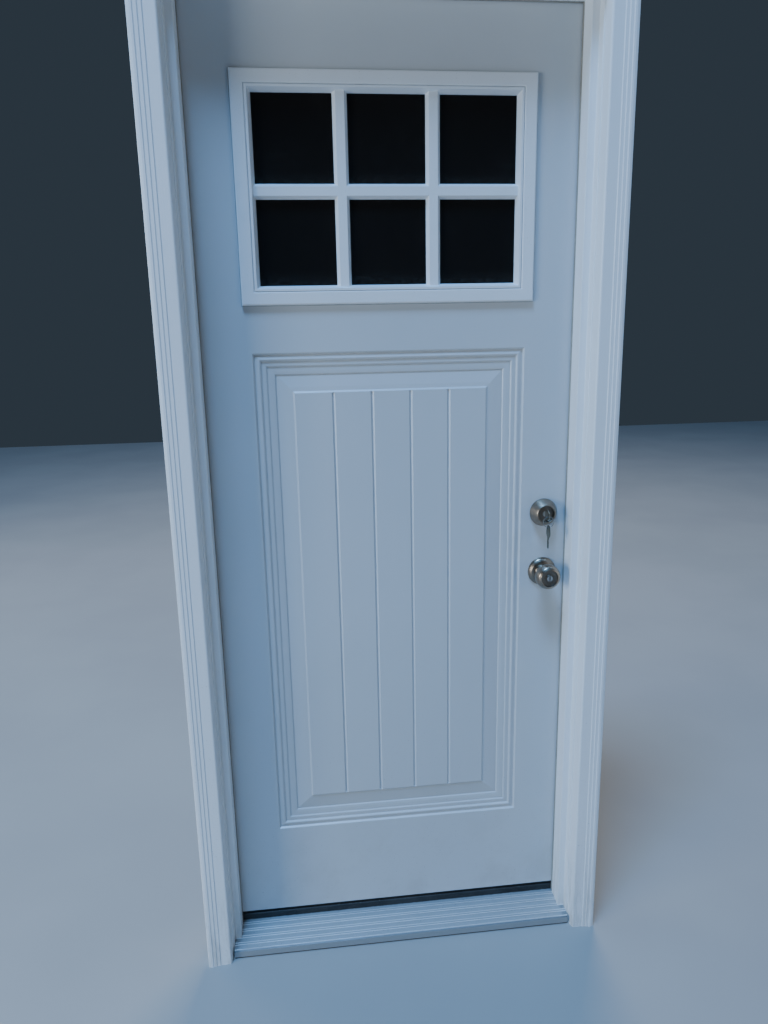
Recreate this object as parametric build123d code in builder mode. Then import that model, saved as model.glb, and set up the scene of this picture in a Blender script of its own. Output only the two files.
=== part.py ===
from build123d import *
import math
import os

os.makedirs("parts", exist_ok=True)

# ---------------------------------------------------------------- frame of reference
# millimetres, +Z up, -Y is the outside face, +Y the room side, X = 0 the middle of the unit.
# Y = 0 is the outside edge of the frame members, Z = 0 the underside of the sill.

# ---------------------------------------------------------------- driving dimensions
slab_w = 806.5  # leaf width
slab_h = 2019.5  # leaf height
slab_t = 44.45  # leaf thickness
slab_bottom = 57.5  # leaf's bottom edge above the sill's underside
edge_gap = 3.2  # gap beside and above the leaf
skin_t = 2.0  # moulded skin

jamb_d = 115.9  # frame depth, 4-9/16 in
jamb_t = 31.75  # frame thickness at the stop
rabbet_d = 12.7  # how far the stop stands into the opening
rabbet_w = 52.0  # room-side rabbet, which holds the leaf
out_rabbet_w = 21.45  # outside rabbet
out_rabbet_d = 15.9
kerf_w = 3.2
kerf_d = 10.0

mould_t = 31.75  # outside moulding, thickness
mould_in = 412.0  # its inner edge from the middle
mould_w = 56.5  # its width

y_in = jamb_d  # room face of the leaf
y_out = jamb_d - slab_t  # outside face of the leaf
x_edge = slab_w / 2
x_rab = x_edge + edge_gap  # rabbet face
x_stop = x_rab - rabbet_d  # stop face
x_back = x_stop + jamb_t  # back of the frame member
x_orab = x_stop + out_rabbet_d
y_stop = jamb_d - rabbet_w  # stop's room-side face
z_top = slab_bottom + slab_h
z_rab = z_top + edge_gap
z_stop = z_rab - rabbet_d
z_head = z_stop + jamb_t
z_orab = z_stop + out_rabbet_d

# ramp of the sill: height at the leaf's outside face and its slope
ramp_z = 32.0
ramp_slope = 0.1413
nose_y = -14.0
rib_h = 1.0


def ramp(y):
    return ramp_z - ramp_slope * (y_out - y)


# leaf window
lite_w, lite_h = 609.6, 439.7
lite_z = slab_bottom + 1664.6
lite_lip = 27.0  # face width of the frame
lite_hole_w, lite_hole_h = 577.6, 407.7
lite_proud = 8.0
glass_y = 82.5
glass_t = 3.2
igu_t = 15.9
igu_w, igu_h = 567.6, 397.7
sight_w, sight_h = 532.0, 362.1
bar_w, bar_face = 29.5, 17.5
bar_x = 93.0
seam_v = 1.9  # groove between the frame's face and the snapped-in grille

# moulded panel
pan_w = 581.0
pan_bot = slab_bottom + 222.5
pan_top = slab_bottom + 1349.3
pan_h = pan_top - pan_bot
pan_z = (pan_top + pan_bot) / 2
# section of the moulding: distance in from the outer edge, depth below the skin's face
pan_sec = [
    (0.0, 0.0),
    (1.0, 0.9),
    (3.3, 4.0),
    (4.6, 4.4),
    (7.0, 3.8),
    (10.5, 2.5),
    (13.0, 1.7),
    (14.8, 2.2),
    (17.6, 5.0),
    (18.8, 5.3),
    (25.8, 4.7),
    (27.2, 5.1),
    (29.2, 6.8),
    (30.4, 7.0),
    (38.5, 7.0),
    (44.0, 7.5),
    (46.3, 9.4),
    (47.6, 9.4),
    (72.0, 5.4),
    (80.6, 4.6),
    (84.4, 1.6),
]
pan_in = 84.4
field_d = 1.6
groove_half, groove_deep = 3.8, 2.8
field_w = pan_w - 2 * pan_in
field_h = pan_h - 2 * pan_in
plank_w = 83.1  # from groove to groove

# lock
backset = 60.325
lock_x = x_edge - backset
knob_z = slab_bottom + 841.5
bolt_z = knob_z + 139.7
bore_r = 27.0
edge_bore_r = 12.7
mid_y = (y_in + y_out) / 2
plate_w, plate_h, plate_t = 25.4, 57.2, 2.0
latch_w, latch_h, latch_throw = 12.0, 18.5, 12.7
bolt_w, bolt_r, bolt_throw = 15.9, 10.6, 25.4

# hinges
hinge_l = 101.6
leaf_t = 2.4
leaf_y0 = 80.0
knuckle_r = 6.3
pin_r = 3.15
pin_hole_r = 3.2
axis_x = -(x_edge + edge_gap / 2)
axis_y = y_in + 6.5
hinge_zs = [
    slab_bottom + 279.0 + hinge_l / 2,
    (slab_bottom + 279.0 + z_top - 178.0) / 2,
    z_top - 178.0 - hinge_l / 2,
]
knuckle_gap = 0.25
hinge_rr = 15.9  # rounding of the leaf's far corners

stile_w = 28.0
rail_h = 38.0


def put(part, name):
    part.label = name
    export_step(part, "parts/" + name + ".step")
    print(name, len(part.solids()), round(part.volume / 1000, 2), "cm3")


def block(x0, x1, y0, y1, z0, z1):
    """a plain block between two corners"""
    with BuildPart() as b:
        with BuildSketch(Plane.XY.offset(z0)):
            with Locations(((x0 + x1) / 2, (y0 + y1) / 2)):
                Rectangle(abs(x1 - x0), abs(y1 - y0))
        extrude(amount=z1 - z0)
    return b.part


def rod(r, p, d, length):
    """a round bar from p along the direction d"""
    with BuildPart() as b:
        with BuildSketch(Plane(origin=p, z_dir=d)):
            Circle(r)
        extrude(amount=length)
    return b.part


def prism_x(pts, x0, x1):
    """a (Y, Z) outline drawn out along X"""
    with BuildPart() as b:
        with BuildSketch(Plane.YZ.offset(x0)):
            Polygon(*pts, align=None)
        extrude(amount=x1 - x0)
    return b.part


def prism_z(pts, z0, z1):
    """an (X, Y) outline drawn up along Z"""
    with BuildPart() as b:
        with BuildSketch(Plane.XY.offset(z0)):
            Polygon(*pts, align=None)
        extrude(amount=z1 - z0)
    return b.part


def ring(w, h, zc, pts):
    """an outline of (distance in from the rectangle's edge, Y) carried round a rectangle with mitred corners"""
    a, b = w / 2, h / 2
    with BuildPart() as p:
        with BuildLine() as path:
            Polyline(
                (0, 0, zc - b),
                (a, 0, zc - b),
                (a, 0, zc + b),
                (-a, 0, zc + b),
                (-a, 0, zc - b),
                (0, 0, zc - b),
            )
        with BuildSketch(
            Plane(origin=(0, 0, zc - b), x_dir=(0, 0, 1), z_dir=(1, 0, 0))
        ):
            Polygon(*[(s, -y) for s, y in pts], align=None)
        sweep(path=path.wires()[0], transition=Transition.RIGHT)
    return p.part


def turned(x, z, pts, mode="line"):
    """an outline of (radius, Y) turned about the line through (x, z) along Y"""
    with BuildPart() as p:
        with BuildSketch(Plane(origin=(x, 0, z), x_dir=(1, 0, 0), z_dir=(0, 0, 1))):
            Polygon(*pts, align=None)
        revolve(axis=Axis((x, 0, z), (0, 1, 0)))
    return p.part


# ================================================================ fixed frame

# ---- side and head members: outline of the member for the right-hand side
jamb_out = [
    (x_back, 0.0),
    (x_orab + 0.8, 0.0),
    (x_orab, 0.8),
    (x_orab, out_rabbet_w),
    (x_stop + 2.0, out_rabbet_w),
    (x_stop + 0.6, out_rabbet_w + 0.5),
    (x_stop, out_rabbet_w + 2.0),
    (x_stop, y_stop - 0.8),
    (x_stop + 0.8, y_stop),
    (x_rab + kerf_d, y_stop),
    (x_rab + kerf_d, y_stop + kerf_w),
    (x_rab, y_stop + kerf_w),
    (x_rab, jamb_d - 1.0),
    (x_rab + 1.0, jamb_d),
    (x_back, jamb_d),
]
head_in = [(x_back - x, y) for x, y in jamb_out]  # height below the member's back


def ramp_cut(side):
    """room for the sill under the stop, 0.2 mm over its ribs"""
    lift = rib_h + 0.2
    pts = [
        (-40.0, -5.0),
        (jamb_d + 5, -5.0),
        (jamb_d + 5, 33.4),
        (y_out + 3.0, 33.4),
        (y_out, ramp(y_out) + lift),
        (-40.0, ramp(-40.0) + lift),
    ]
    lo, hi = (side * 380.0, side * (x_rab + 0.05))
    return prism_x(pts, min(lo, hi), max(lo, hi))


def strike_pocket(z, w, h, depth, plate):
    """a pocket in the right-hand member behind a strike plate"""
    return block(
        x_rab - 1, x_rab + depth, mid_y - w / 2, mid_y + w / 2, z - h / 2, z + h / 2
    )


screw_dz = 20.6  # strike and faceplate screws from the middle of the plate
strike_t = 1.6
strike_w = 28.6

with BuildPart() as strike_jamb:
    with BuildSketch(Plane.XY):
        Polygon(*jamb_out, align=None)
    extrude(amount=z_head)
    add(ramp_cut(1), mode=Mode.SUBTRACT)
    for z in (knob_z, bolt_z):
        # the plate's own recess, and two pilot holes
        add(
            block(
                x_rab - 1,
                x_rab + strike_t,
                mid_y - strike_w / 2,
                mid_y + strike_w / 2,
                z - plate_h / 2,
                z + plate_h / 2,
            ),
            mode=Mode.SUBTRACT,
        )
        for dz in (-screw_dz, screw_dz):
            add(
                rod(1.9, (x_rab - 1, mid_y, z + dz), (1, 0, 0), 17.5),
                mode=Mode.SUBTRACT,
            )
    # the latch plate's lip runs out to the room-side edge
    add(
        block(
            x_rab - 1, x_rab + strike_t, mid_y, jamb_d + 5, knob_z - 14.0, knob_z + 14.0
        ),
        mode=Mode.SUBTRACT,
    )
    # latch pocket, blind; deadbolt pocket, right through into the wall's stud
    add(
        block(
            x_rab - 1,
            x_rab + 16.0,
            mid_y - 9.0,
            mid_y + 9.0,
            knob_z - 13.0,
            knob_z + 13.0,
        ),
        mode=Mode.SUBTRACT,
    )
    add(
        rod(14.3, (x_rab - 1, mid_y, bolt_z), (1, 0, 0), x_back - x_rab + 2),
        mode=Mode.SUBTRACT,
    )
put(strike_jamb.part, "strike_jamb")

hinge_screw_pts = []  # (Y, dz) of the four screws in one hinge leaf
for dz, yy in ((-38.0, 98.0), (-14.0, 88.0), (14.0, 98.0), (38.0, 88.0)):
    hinge_screw_pts.append((yy, dz))



def mortise(zc, x0, depth):
    """the recess for a hinge leaf, rounded at its two far corners"""
    with BuildPart() as p:
        with BuildSketch(Plane.YZ.offset(x0)):
            with Locations(((leaf_y0 + jamb_d + 10) / 2, zc)):
                Rectangle(jamb_d + 10 - leaf_y0, hinge_l)
            for sz in (-1, 1):
                with Locations((leaf_y0 + hinge_rr / 2, zc + sz * (hinge_l - hinge_rr) / 2)):
                    Rectangle(hinge_rr, hinge_rr, mode=Mode.SUBTRACT)
                with Locations((leaf_y0 + hinge_rr, zc + sz * (hinge_l / 2 - hinge_rr))):
                    Circle(hinge_rr)
        extrude(amount=depth)
    return p.part


with BuildPart() as hinge_jamb:
    with BuildSketch(Plane.XY):
        Polygon(*[(-x, y) for x, y in jamb_out], align=None)
    extrude(amount=z_head)
    add(ramp_cut(-1), mode=Mode.SUBTRACT)
    for zc in hinge_zs:
        add(mortise(zc, -x_rab - leaf_t, leaf_t + 1), mode=Mode.SUBTRACT)
        for yy, dz in hinge_screw_pts:
            add(
                rod(2.05, (-x_rab + 1, yy, zc + dz), (-1, 0, 0), 18.5),
                mode=Mode.SUBTRACT,
            )
put(hinge_jamb.part, "hinge_jamb")

# the head member lies between the side members and follows their outline
with BuildPart() as head_jamb:
    with BuildSketch(Plane.YZ.offset(-x_orab)):
        Polygon(*[(y, z_head - d) for d, y in head_in], align=None)
    extrude(amount=2 * x_orab)
    for side in (-1, 1):
        add(
            prism_z([(side * x, y) for x, y in jamb_out], z_stop - 5, z_head + 5),
            mode=Mode.SUBTRACT,
        )
        # the kerf's end is left open
        add(
            block(
                side * x_rab,
                side * (x_orab + 1),
                y_stop,
                jamb_d + 1,
                z_stop - 5,
                z_head + 5,
            ),
            mode=Mode.SUBTRACT,
        )
put(head_jamb.part, "head_jamb")

# ---- outside moulding: outline from the inner edge outwards, (u, Y). Its back is relieved between
# the strip that laps the frame's edge and the strip that lies on the wall
mould_out = [
    (0.0, 0.0),
    (0.3, -5.0),
    (2.4, -22.0),
    (3.2, -25.0),
    (5.0, -26.9),
    (7.0, -27.4),
    (27.6, -27.9),
    (29.4, -29.2),
    (35.8, -29.3),
    (37.7, -30.5),
    (44.1, -30.6),
    (46.0, -31.75),
    (50.0, -31.75),
    (55.0, -30.5),
    (56.5, -28.0),
    (56.5, 0.0),
    (31.0, 0.0),
    (30.2, -1.2),
    (15.8, -1.2),
    (15.0, 0.0),
]
mould_top = z_stop + (mould_in - x_stop)  # inner edge over the head, same reveal
mx, mz = mould_in + mould_w, mould_top + mould_w


def mould_leg(side):
    with BuildPart() as p:
        with BuildSketch(Plane.XY):
            Polygon(*[(side * (mould_in + u), y) for u, y in mould_out], align=None)
        extrude(amount=mz + 1)
        # mitre at the top corner
        c = [
            (side * (mould_in - 30), mould_top - 30),
            (side * (mould_in + mould_w + 10), mould_top + mould_w + 10),
            (side * (mould_in + mould_w + 10), mould_top + mould_w + 60),
            (side * (mould_in - 30), mould_top + mould_w + 60),
        ]
        with BuildSketch(Plane.XZ.offset(-5)):
            Polygon(*c, align=None)
        extrude(amount=60, mode=Mode.SUBTRACT)
    return p.part


put(mould_leg(-1), "brickmould_left")
put(mould_leg(1), "brickmould_right")

with BuildPart() as brickmould_head:
    with BuildSketch(Plane.YZ.offset(-mx)):
        Polygon(*[(y, mould_top + u) for u, y in mould_out], align=None)
    extrude(amount=2 * mx)
    for side in (-1, 1):
        c = [
            (side * (mould_in - 30), mould_top - 30),
            (side * (mould_in + mould_w + 10), mould_top + mould_w + 10),
            (side * (mould_in + mould_w + 60), mould_top - 30),
        ]
        with BuildSketch(Plane.XZ.offset(-5)):
            Polygon(*c, align=None)
        extrude(amount=60, mode=Mode.SUBTRACT)
put(brickmould_head.part, "brickmould_head")

# ---- sill
sill_x = x_rab - 0.15
horn_x = x_orab - 0.3
deck_x = 409.0  # the extrusion stops short of the moulding
deck_t = 1.8
deck_top = [(nose_y, 17.2), (nose_y + 0.6, ramp(nose_y) - 0.5), (nose_y + 2.0, ramp(nose_y + 2.0))]
rib_ys = [-9.45] + [6.0 + 18.2 * i + d for i in range(4) for d in (-2.75, 2.75)]
for ry in rib_ys:
    deck_top += [
        (ry - 1.7, ramp(ry - 1.7)),
        (ry - 0.8, ramp(ry - 0.8) + rib_h),
        (ry + 0.8, ramp(ry + 0.8) + rib_h),
        (ry + 1.7, ramp(ry + 1.7)),
    ]
y_wall = 76.8  # front wall of the rail's channel
deck_top += [
    (y_wall - 1.6, ramp(y_wall - 1.6)),
    (y_wall - 1.6, 36.0),
    (y_wall, 36.0),
    (y_wall, 32.6),
    (jamb_d - 0.6, 32.6),
    (jamb_d - 0.6, 24.0),
    (jamb_d - 2.2, 24.0),
    (jamb_d - 2.2, 30.8),
    (y_wall - 2.0, 30.8),
    (y_wall - 2.0, ramp(y_wall - 2.0) - deck_t),
    (nose_y + 2.2, ramp(nose_y + 2.2) - deck_t),
    (nose_y + 1.7, 16.6),
    (nose_y + 1.7, 4.0),
    (nose_y, 4.0),
]
with BuildPart() as sill_deck:
    with BuildSketch(Plane.YZ.offset(-deck_x)):
        Polygon(*deck_top, align=None)
    extrude(amount=2 * deck_x)
    for side in (-1, 1):
        add(
            block(side * sill_x, side * 430, out_rabbet_w, jamb_d + 5, -5, 60),
            mode=Mode.SUBTRACT,
        )
put(sill_deck.part, "sill_deck")

sub_out = [
    (nose_y + 3.0, 0.0),
    (jamb_d - 2.4, 0.0),
    (jamb_d - 2.4, 30.7),
    (y_wall - 1.9, 30.7),
    (y_wall - 1.9, ramp(y_wall - 2.0) - deck_t - 0.1),
    (nose_y + 3.0, ramp(nose_y + 3.0) - deck_t - 0.1),
]
with BuildPart() as sill_substrate:
    with BuildSketch(Plane.YZ.offset(-horn_x)):
        Polygon(*sub_out, align=None)
    extrude(amount=2 * horn_x)
    for side in (-1, 1):
        add(
            block(side * sill_x, side * 430, out_rabbet_w, jamb_d + 5, -5, 60),
            mode=Mode.SUBTRACT,
        )
put(sill_substrate.part, "sill_substrate")

cap_x = x_rab - 0.5
cap_screw_xs = [-300.0, -100.0, 100.0, 300.0]
with BuildPart() as sill_cap:
    with BuildSketch(Plane.YZ.offset(-cap_x)):
        Polygon(
            (72.4, 33.6),
            (72.4, 46.5),
            (74.0, 48.3),
            (78.0, 49.5),
            (108.0, 49.5),
            (112.2, 47.0),
            (113.4, 44.5),
            (113.4, 33.0),
            (109.0, 33.0),
            (109.0, 36.2),
            (74.8, 36.2),
            (74.8, 33.6),
            align=None,
        )
    extrude(amount=2 * cap_x)
    for xx in cap_screw_xs:
        add(rod(4.1, (xx, 93.0, 53.5), (0, 0, -1), 23.5), mode=Mode.SUBTRACT)
put(sill_cap.part, "sill_cap")

with BuildPart() as sill_cap_screws:
    for xx in cap_screw_xs:
        add(rod(4.0, (xx, 93.0, 48.1), (0, 0, -1), 3.2))
        add(rod(2.4, (xx, 93.0, 44.9), (0, 0, -1), 12.2))
        # cross recess
        for a, b in ((2.2, 0.45), (0.45, 2.2)):
            add(
                block(xx - a, xx + a, 93.0 - b, 93.0 + b, 46.9, 48.5),
                mode=Mode.SUBTRACT,
            )
put(sill_cap_screws.part, "sill_cap_screws")

# ---- weatherstrip: fin in the kerf and a foam bulb squeezed between the stop and the leaf
ws_y0, ws_y1 = y_stop + 0.15, y_out - 0.25
ws = [
    (x_rab + 9.0, y_stop + 0.5),
    (x_rab + 9.0, y_stop + 2.6),
    (x_rab - 0.3, y_stop + 2.6),
    (x_rab - 0.3, ws_y1 - 1.2),
    (x_rab - 1.2, ws_y1),
    (x_rab - 11.6, ws_y1),
    (x_rab - 13.3, ws_y1 - 0.8),
    (x_rab - 14.2, ws_y1 - 2.2),
    (x_rab - 14.3, ws_y0 + 2.6),
    (x_rab - 13.6, ws_y0 + 0.9),
    (x_rab - 12.4, ws_y0),
    (x_rab - 0.6, ws_y0),
    (x_rab + 0.2, y_stop + 0.5),
]
ws_z0 = 34.6
for side, name in ((-1, "weatherstrip_hinge_side"), (1, "weatherstrip_strike_side")):
    with BuildPart() as strip:
        with BuildSketch(Plane.XY.offset(ws_z0)):
            Polygon(*[(side * x, y) for x, y in ws], align=None)
        extrude(amount=z_rab - 0.4 - ws_z0)
    put(strip.part, name)

with BuildPart() as weatherstrip_head:
    lo = x_rab - 14.3 - 0.2
    with BuildSketch(Plane.YZ.offset(-lo)):
        Polygon(*[(y, z_rab + (x - x_rab)) for x, y in ws], align=None)
    extrude(amount=2 * lo)
put(weatherstrip_head.part, "weatherstrip_head")

with BuildPart() as corner_seal_pads:
    for side in (-1, 1):
        x0, x1 = side * (x_rab - 1.2), side * (x_rab - 0.05)
        add(block(min(x0, x1), max(x0, x1), 72.0, 96.0, 50.7, 98.0))
put(corner_seal_pads.part, "corner_seal_pads")


# ---- strike plates
def strike(z, w, h, lip):
    with BuildPart() as p:
        with BuildSketch(Plane.YZ.offset(x_rab)):
            with Locations((mid_y, z)):
                RectangleRounded(strike_w - 0.2, plate_h - 0.2, 5.0)
        extrude(amount=strike_t)
        if lip:
            # a lip curled towards the back over the room-side edge
            pts = [
                (x_rab, mid_y),
                (x_rab, jamb_d - 1.0),
                (x_rab + 0.4, jamb_d + 1.2),
                (x_rab + 2.0, jamb_d + 3.4),
                (x_rab + 4.2, jamb_d + 4.8),
                (x_rab + 5.0, jamb_d + 3.6),
                (x_rab + 3.4, jamb_d + 2.4),
                (x_rab + 2.1, jamb_d + 1.4),
                (x_rab + 1.6, jamb_d + 0.2),
                (x_rab + 1.6, mid_y),
            ]
            with BuildSketch(Plane.XY.offset(z - 13.8)):
                Polygon(*pts, align=None)
            extrude(amount=27.6)
        with BuildSketch(Plane.YZ.offset(x_rab - 1)):
            with Locations((mid_y, z)):
                RectangleRounded(w, h, 1.5)
        extrude(amount=strike_t + 3, mode=Mode.SUBTRACT)
        for dz in (-screw_dz, screw_dz):
            add(
                rod(2.1, (x_rab - 1, mid_y, z + dz), (1, 0, 0), 6), mode=Mode.SUBTRACT
            )
    return p.part


def screw_flat(p, d, head_r, head_h, shank_r, length):
    """a flat-head wood screw: its head's face at p, its shank along d, with a cross recess"""
    dv = Vector(*d)
    with BuildPart() as s:
        with BuildSketch(Plane(origin=p, z_dir=d)):
            Circle(head_r)
        with BuildSketch(
            Plane(origin=tuple(Vector(*p) + dv * head_h), z_dir=d)
        ):
            Circle(shank_r)
        loft()
        with BuildSketch(
            Plane(origin=tuple(Vector(*p) + dv * head_h), z_dir=d)
        ):
            Circle(shank_r)
        extrude(amount=length - head_h - 2 * shank_r)
        with BuildSketch(
            Plane(
                origin=tuple(Vector(*p) + dv * (length - 2 * shank_r)), z_dir=d
            )
        ):
            Circle(shank_r)
        with BuildSketch(
            Plane(origin=tuple(Vector(*p) + dv * length), z_dir=d)
        ):
            Circle(0.3)
        loft()
        with BuildSketch(Plane(origin=p, z_dir=d)):
            Rectangle(head_r * 1.05, head_r * 0.22)
            Rectangle(head_r * 0.22, head_r * 1.05)
        extrude(amount=head_h * 0.6, mode=Mode.SUBTRACT)
    return s.part


def csk_cut(p, d, head_r, head_h, shank_r, depth):
    """the matching countersunk hole"""
    dv = Vector(*d)
    with BuildPart() as s:
        with BuildSketch(Plane(origin=p, z_dir=d)):
            Circle(head_r)
        with BuildSketch(
            Plane(origin=tuple(Vector(*p) + dv * head_h), z_dir=d)
        ):
            Circle(shank_r)
        loft()
        with BuildSketch(Plane(origin=p, z_dir=d)):
            Circle(shank_r)
        extrude(amount=depth)
    return s.part


with BuildPart() as latch_strike_plate:
    add(strike(knob_z, 17.0, 25.0, True))
    for dz in (-screw_dz, screw_dz):
        add(
            csk_cut((x_rab - 0.01, mid_y, knob_z + dz), (1, 0, 0), 3.7, 1.4, 1.95, 4),
            mode=Mode.SUBTRACT,
        )
put(latch_strike_plate.part, "latch_strike_plate")

with BuildPart() as deadbolt_strike_plate:
    add(strike(bolt_z, 19.0, 26.0, False))
    for dz in (-screw_dz, screw_dz):
        add(
            csk_cut((x_rab - 0.01, mid_y, bolt_z + dz), (1, 0, 0), 3.7, 1.4, 1.95, 4),
            mode=Mode.SUBTRACT,
        )
put(deadbolt_strike_plate.part, "deadbolt_strike_plate")

with BuildPart() as strike_screws:
    for z in (knob_z, bolt_z):
        for dz in (-screw_dz, screw_dz):
            add(
                screw_flat(
                    (x_rab + 0.05, mid_y, z + dz), (1, 0, 0), 3.55, 1.3, 1.8, 15.5
                )
            )
put(strike_screws.part, "strike_screws")

# ---- hinges: five knuckles, three on the frame's leaf and two on the door's
seg = hinge_l / 5


def hinge_leaf(zc, side):
    """side -1: the leaf let into the frame; side +1: the leaf let into the door's edge"""
    x0 = axis_x + side * edge_gap / 2
    x1 = x0 + side * leaf_t
    own = (0, 2, 4) if side < 0 else (1, 3)
    other = (1, 3) if side < 0 else (0, 2, 4)
    zb = zc - hinge_l / 2
    clear_y = axis_y - math.sqrt((knuckle_r + 0.2) ** 2 - (edge_gap / 2) ** 2)
    g = knuckle_gap / 2
    with BuildPart() as p:
        add(block(min(x0, x1), max(x0, x1), leaf_y0 + 0.1, clear_y, zb + 0.1, zb + hinge_l - 0.1))
        for k in own:
            z0, z1 = zb + k * seg + g, zb + (k + 1) * seg - g
            add(block(min(x0, x1), max(x0, x1), leaf_y0 + 20, axis_y, z0, z1))
            add(rod(knuckle_r, (axis_x, axis_y, z0), (0, 0, 1), z1 - z0))
        for k in own:
            z0 = zb + k * seg
            add(
                rod(pin_hole_r, (axis_x, axis_y, z0 - 1), (0, 0, 1), seg + 2),
                mode=Mode.SUBTRACT,
            )
        # rounded outer corners of the leaf
        for sz, zz in ((1, zb + 0.1), (-1, zb + hinge_l - 0.1)):
            r = hinge_rr
            with BuildSketch(Plane.YZ.offset(min(x0, x1) - 1)):
                with Locations((leaf_y0 + 0.1 + r / 2, zz + sz * r / 2)):
                    Rectangle(r, r)
                with Locations((leaf_y0 + 0.1 + r, zz + sz * r)):
                    Circle(r, mode=Mode.SUBTRACT)
            extrude(amount=leaf_t + 2, mode=Mode.SUBTRACT)
        for yy, dz in hinge_screw_pts:
            add(
                csk_cut((x0 - side * 0.01, yy, zc + dz), (side, 0, 0), 4.6, 2.3, 2.3, 4),
                mode=Mode.SUBTRACT,
            )
    return p.part


with BuildPart() as frame_hinge_leaves:
    for zc in hinge_zs:
        add(hinge_leaf(zc, -1))
put(frame_hinge_leaves.part, "frame_hinge_leaves")

with BuildPart() as door_hinge_leaves:
    for zc in hinge_zs:
        add(hinge_leaf(zc, 1))
put(door_hinge_leaves.part, "door_hinge_leaves")

with BuildPart() as hinge_pins:
    for zc in hinge_zs:
        lo, top = zc - hinge_l / 2 - 1.5, zc + hinge_l / 2
        with BuildSketch(Plane(origin=(axis_x, axis_y, 0), x_dir=(1, 0, 0), z_dir=(0, -1, 0))):
            Polygon(
                (0, lo),
                (2.4, lo),
                (pin_r, lo + 0.9),
                (pin_r, top + 0.2),
                (5.6, top + 0.2),
                (5.9, top + 0.8),
                (5.6, top + 2.0),
                (4.6, top + 3.2),
                (2.8, top + 4.2),
                (0, top + 4.6),
                align=None,
            )
        revolve(axis=Axis((axis_x, axis_y, 0), (0, 0, 1)))
put(hinge_pins.part, "hinge_pins")

with BuildPart() as frame_hinge_screws:
    for zc in hinge_zs:
        for yy, dz in hinge_screw_pts:
            add(
                screw_flat((-x_rab - 0.05, yy, zc + dz), (-1, 0, 0), 4.5, 2.2, 2.0, 16.0)
            )
put(frame_hinge_screws.part, "frame_hinge_screws")

with BuildPart() as door_hinge_screws:
    for zc in hinge_zs:
        for yy, dz in hinge_screw_pts:
            add(
                screw_flat((-x_edge + 0.05, yy, zc + dz), (1, 0, 0), 4.5, 2.2, 2.0, 22.0)
            )
put(door_hinge_screws.part, "door_hinge_screws")

# ================================================================ leaf

core_x = x_edge - stile_w
core_z0, core_z1 = slab_bottom + rail_h, z_top - rail_h
yc0, yc1 = y_out + skin_t, y_in - skin_t


def sec(y_face, sign, extra=0.0):
    """the panel moulding's points as (s, Y)"""
    return [(s, y_face + sign * (d + extra)) for s, d in pan_sec]


def field_pts(y_face, sign, extra=0.0):
    """outline of the plank field's face as (X, Y), left to right, with its grooves"""
    pts = [(-field_w / 2, y_face + sign * (field_d + extra))]
    for k in range(1, 5):
        x = (k - 2.5) * plank_w
        pts += [
            (x - groove_half, y_face + sign * (field_d + extra)),
            (x, y_face + sign * (field_d + groove_deep + extra)),
            (x + groove_half, y_face + sign * (field_d + extra)),
        ]
    pts.append((field_w / 2, y_face + sign * (field_d + extra)))
    return pts


def skin(y_face, sign):
    """a moulded skin whose visible face is at y_face, 2 mm thick towards sign * Y"""
    y_b = y_face + sign * skin_t
    front, back = sec(y_face, sign), sec(y_face, sign, skin_t)
    moulding = ring(pan_w, pan_h, pan_z, front + back[::-1])
    f0, f1 = field_pts(y_face, sign), field_pts(y_face, sign, skin_t)
    with BuildPart() as p:
        add(block(-x_edge, x_edge, min(y_face, y_b), max(y_face, y_b), slab_bottom, z_top))
        add(
            block(-pan_w / 2, pan_w / 2, y_face - 20, y_face + 20, pan_bot, pan_top),
            mode=Mode.SUBTRACT,
        )
        add(moulding)
        add(prism_z(f0 + f1[::-1], pan_bot + pan_in, pan_top - pan_in))
        add(
            block(
                -lite_hole_w / 2,
                lite_hole_w / 2,
                y_face - 20,
                y_face + 20,
                lite_z - lite_hole_h / 2,
                lite_z + lite_hole_h / 2,
            ),
            mode=Mode.SUBTRACT,
        )
        for z in (knob_z, bolt_z):
            add(rod(bore_r, (lock_x, y_face - 20, z), (0, 1, 0), 40), mode=Mode.SUBTRACT)
    return p.part


with BuildPart() as exterior_skin:
    add(skin(y_out, 1))
put(exterior_skin.part, "exterior_skin")

with BuildPart() as interior_skin:
    add(skin(y_in, -1))
    for zc in hinge_zs:
        add(mortise(zc, -x_edge - 1, leaf_t + 1), mode=Mode.SUBTRACT)
put(interior_skin.part, "interior_skin")

with BuildPart() as hinge_stile:
    add(block(-x_edge, -core_x, yc0, yc1, slab_bottom, z_top))
    for zc in hinge_zs:
        add(mortise(zc, -x_edge - 1, leaf_t + 1), mode=Mode.SUBTRACT)
        for yy, dz in hinge_screw_pts:
            add(rod(2.05, (-x_edge - 1, yy, zc + dz), (1, 0, 0), 24.5), mode=Mode.SUBTRACT)
put(hinge_stile.part, "hinge_stile")

with BuildPart() as lock_stile:
    add(block(core_x, x_edge, yc0, yc1, slab_bottom, z_top))
    for z in (knob_z, bolt_z):
        add(rod(edge_bore_r, (core_x - 1, mid_y, z), (1, 0, 0), stile_w + 2), mode=Mode.SUBTRACT)
        add(
            block(x_edge - plate_t, x_edge + 1, mid_y - plate_w / 2, mid_y + plate_w / 2, z - plate_h / 2, z + plate_h / 2),
            mode=Mode.SUBTRACT,
        )
        for dz in (-screw_dz, screw_dz):
            add(rod(1.9, (x_edge - 21, mid_y, z + dz), (1, 0, 0), 22), mode=Mode.SUBTRACT)
put(lock_stile.part, "lock_stile")

with BuildPart() as top_rail:
    add(block(-core_x, core_x, yc0, yc1, core_z1, z_top))
put(top_rail.part, "top_rail")

with BuildPart() as bottom_rail:
    add(block(-core_x, core_x, yc0, yc1, slab_bottom, core_z0))
put(bottom_rail.part, "bottom_rail")

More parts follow.
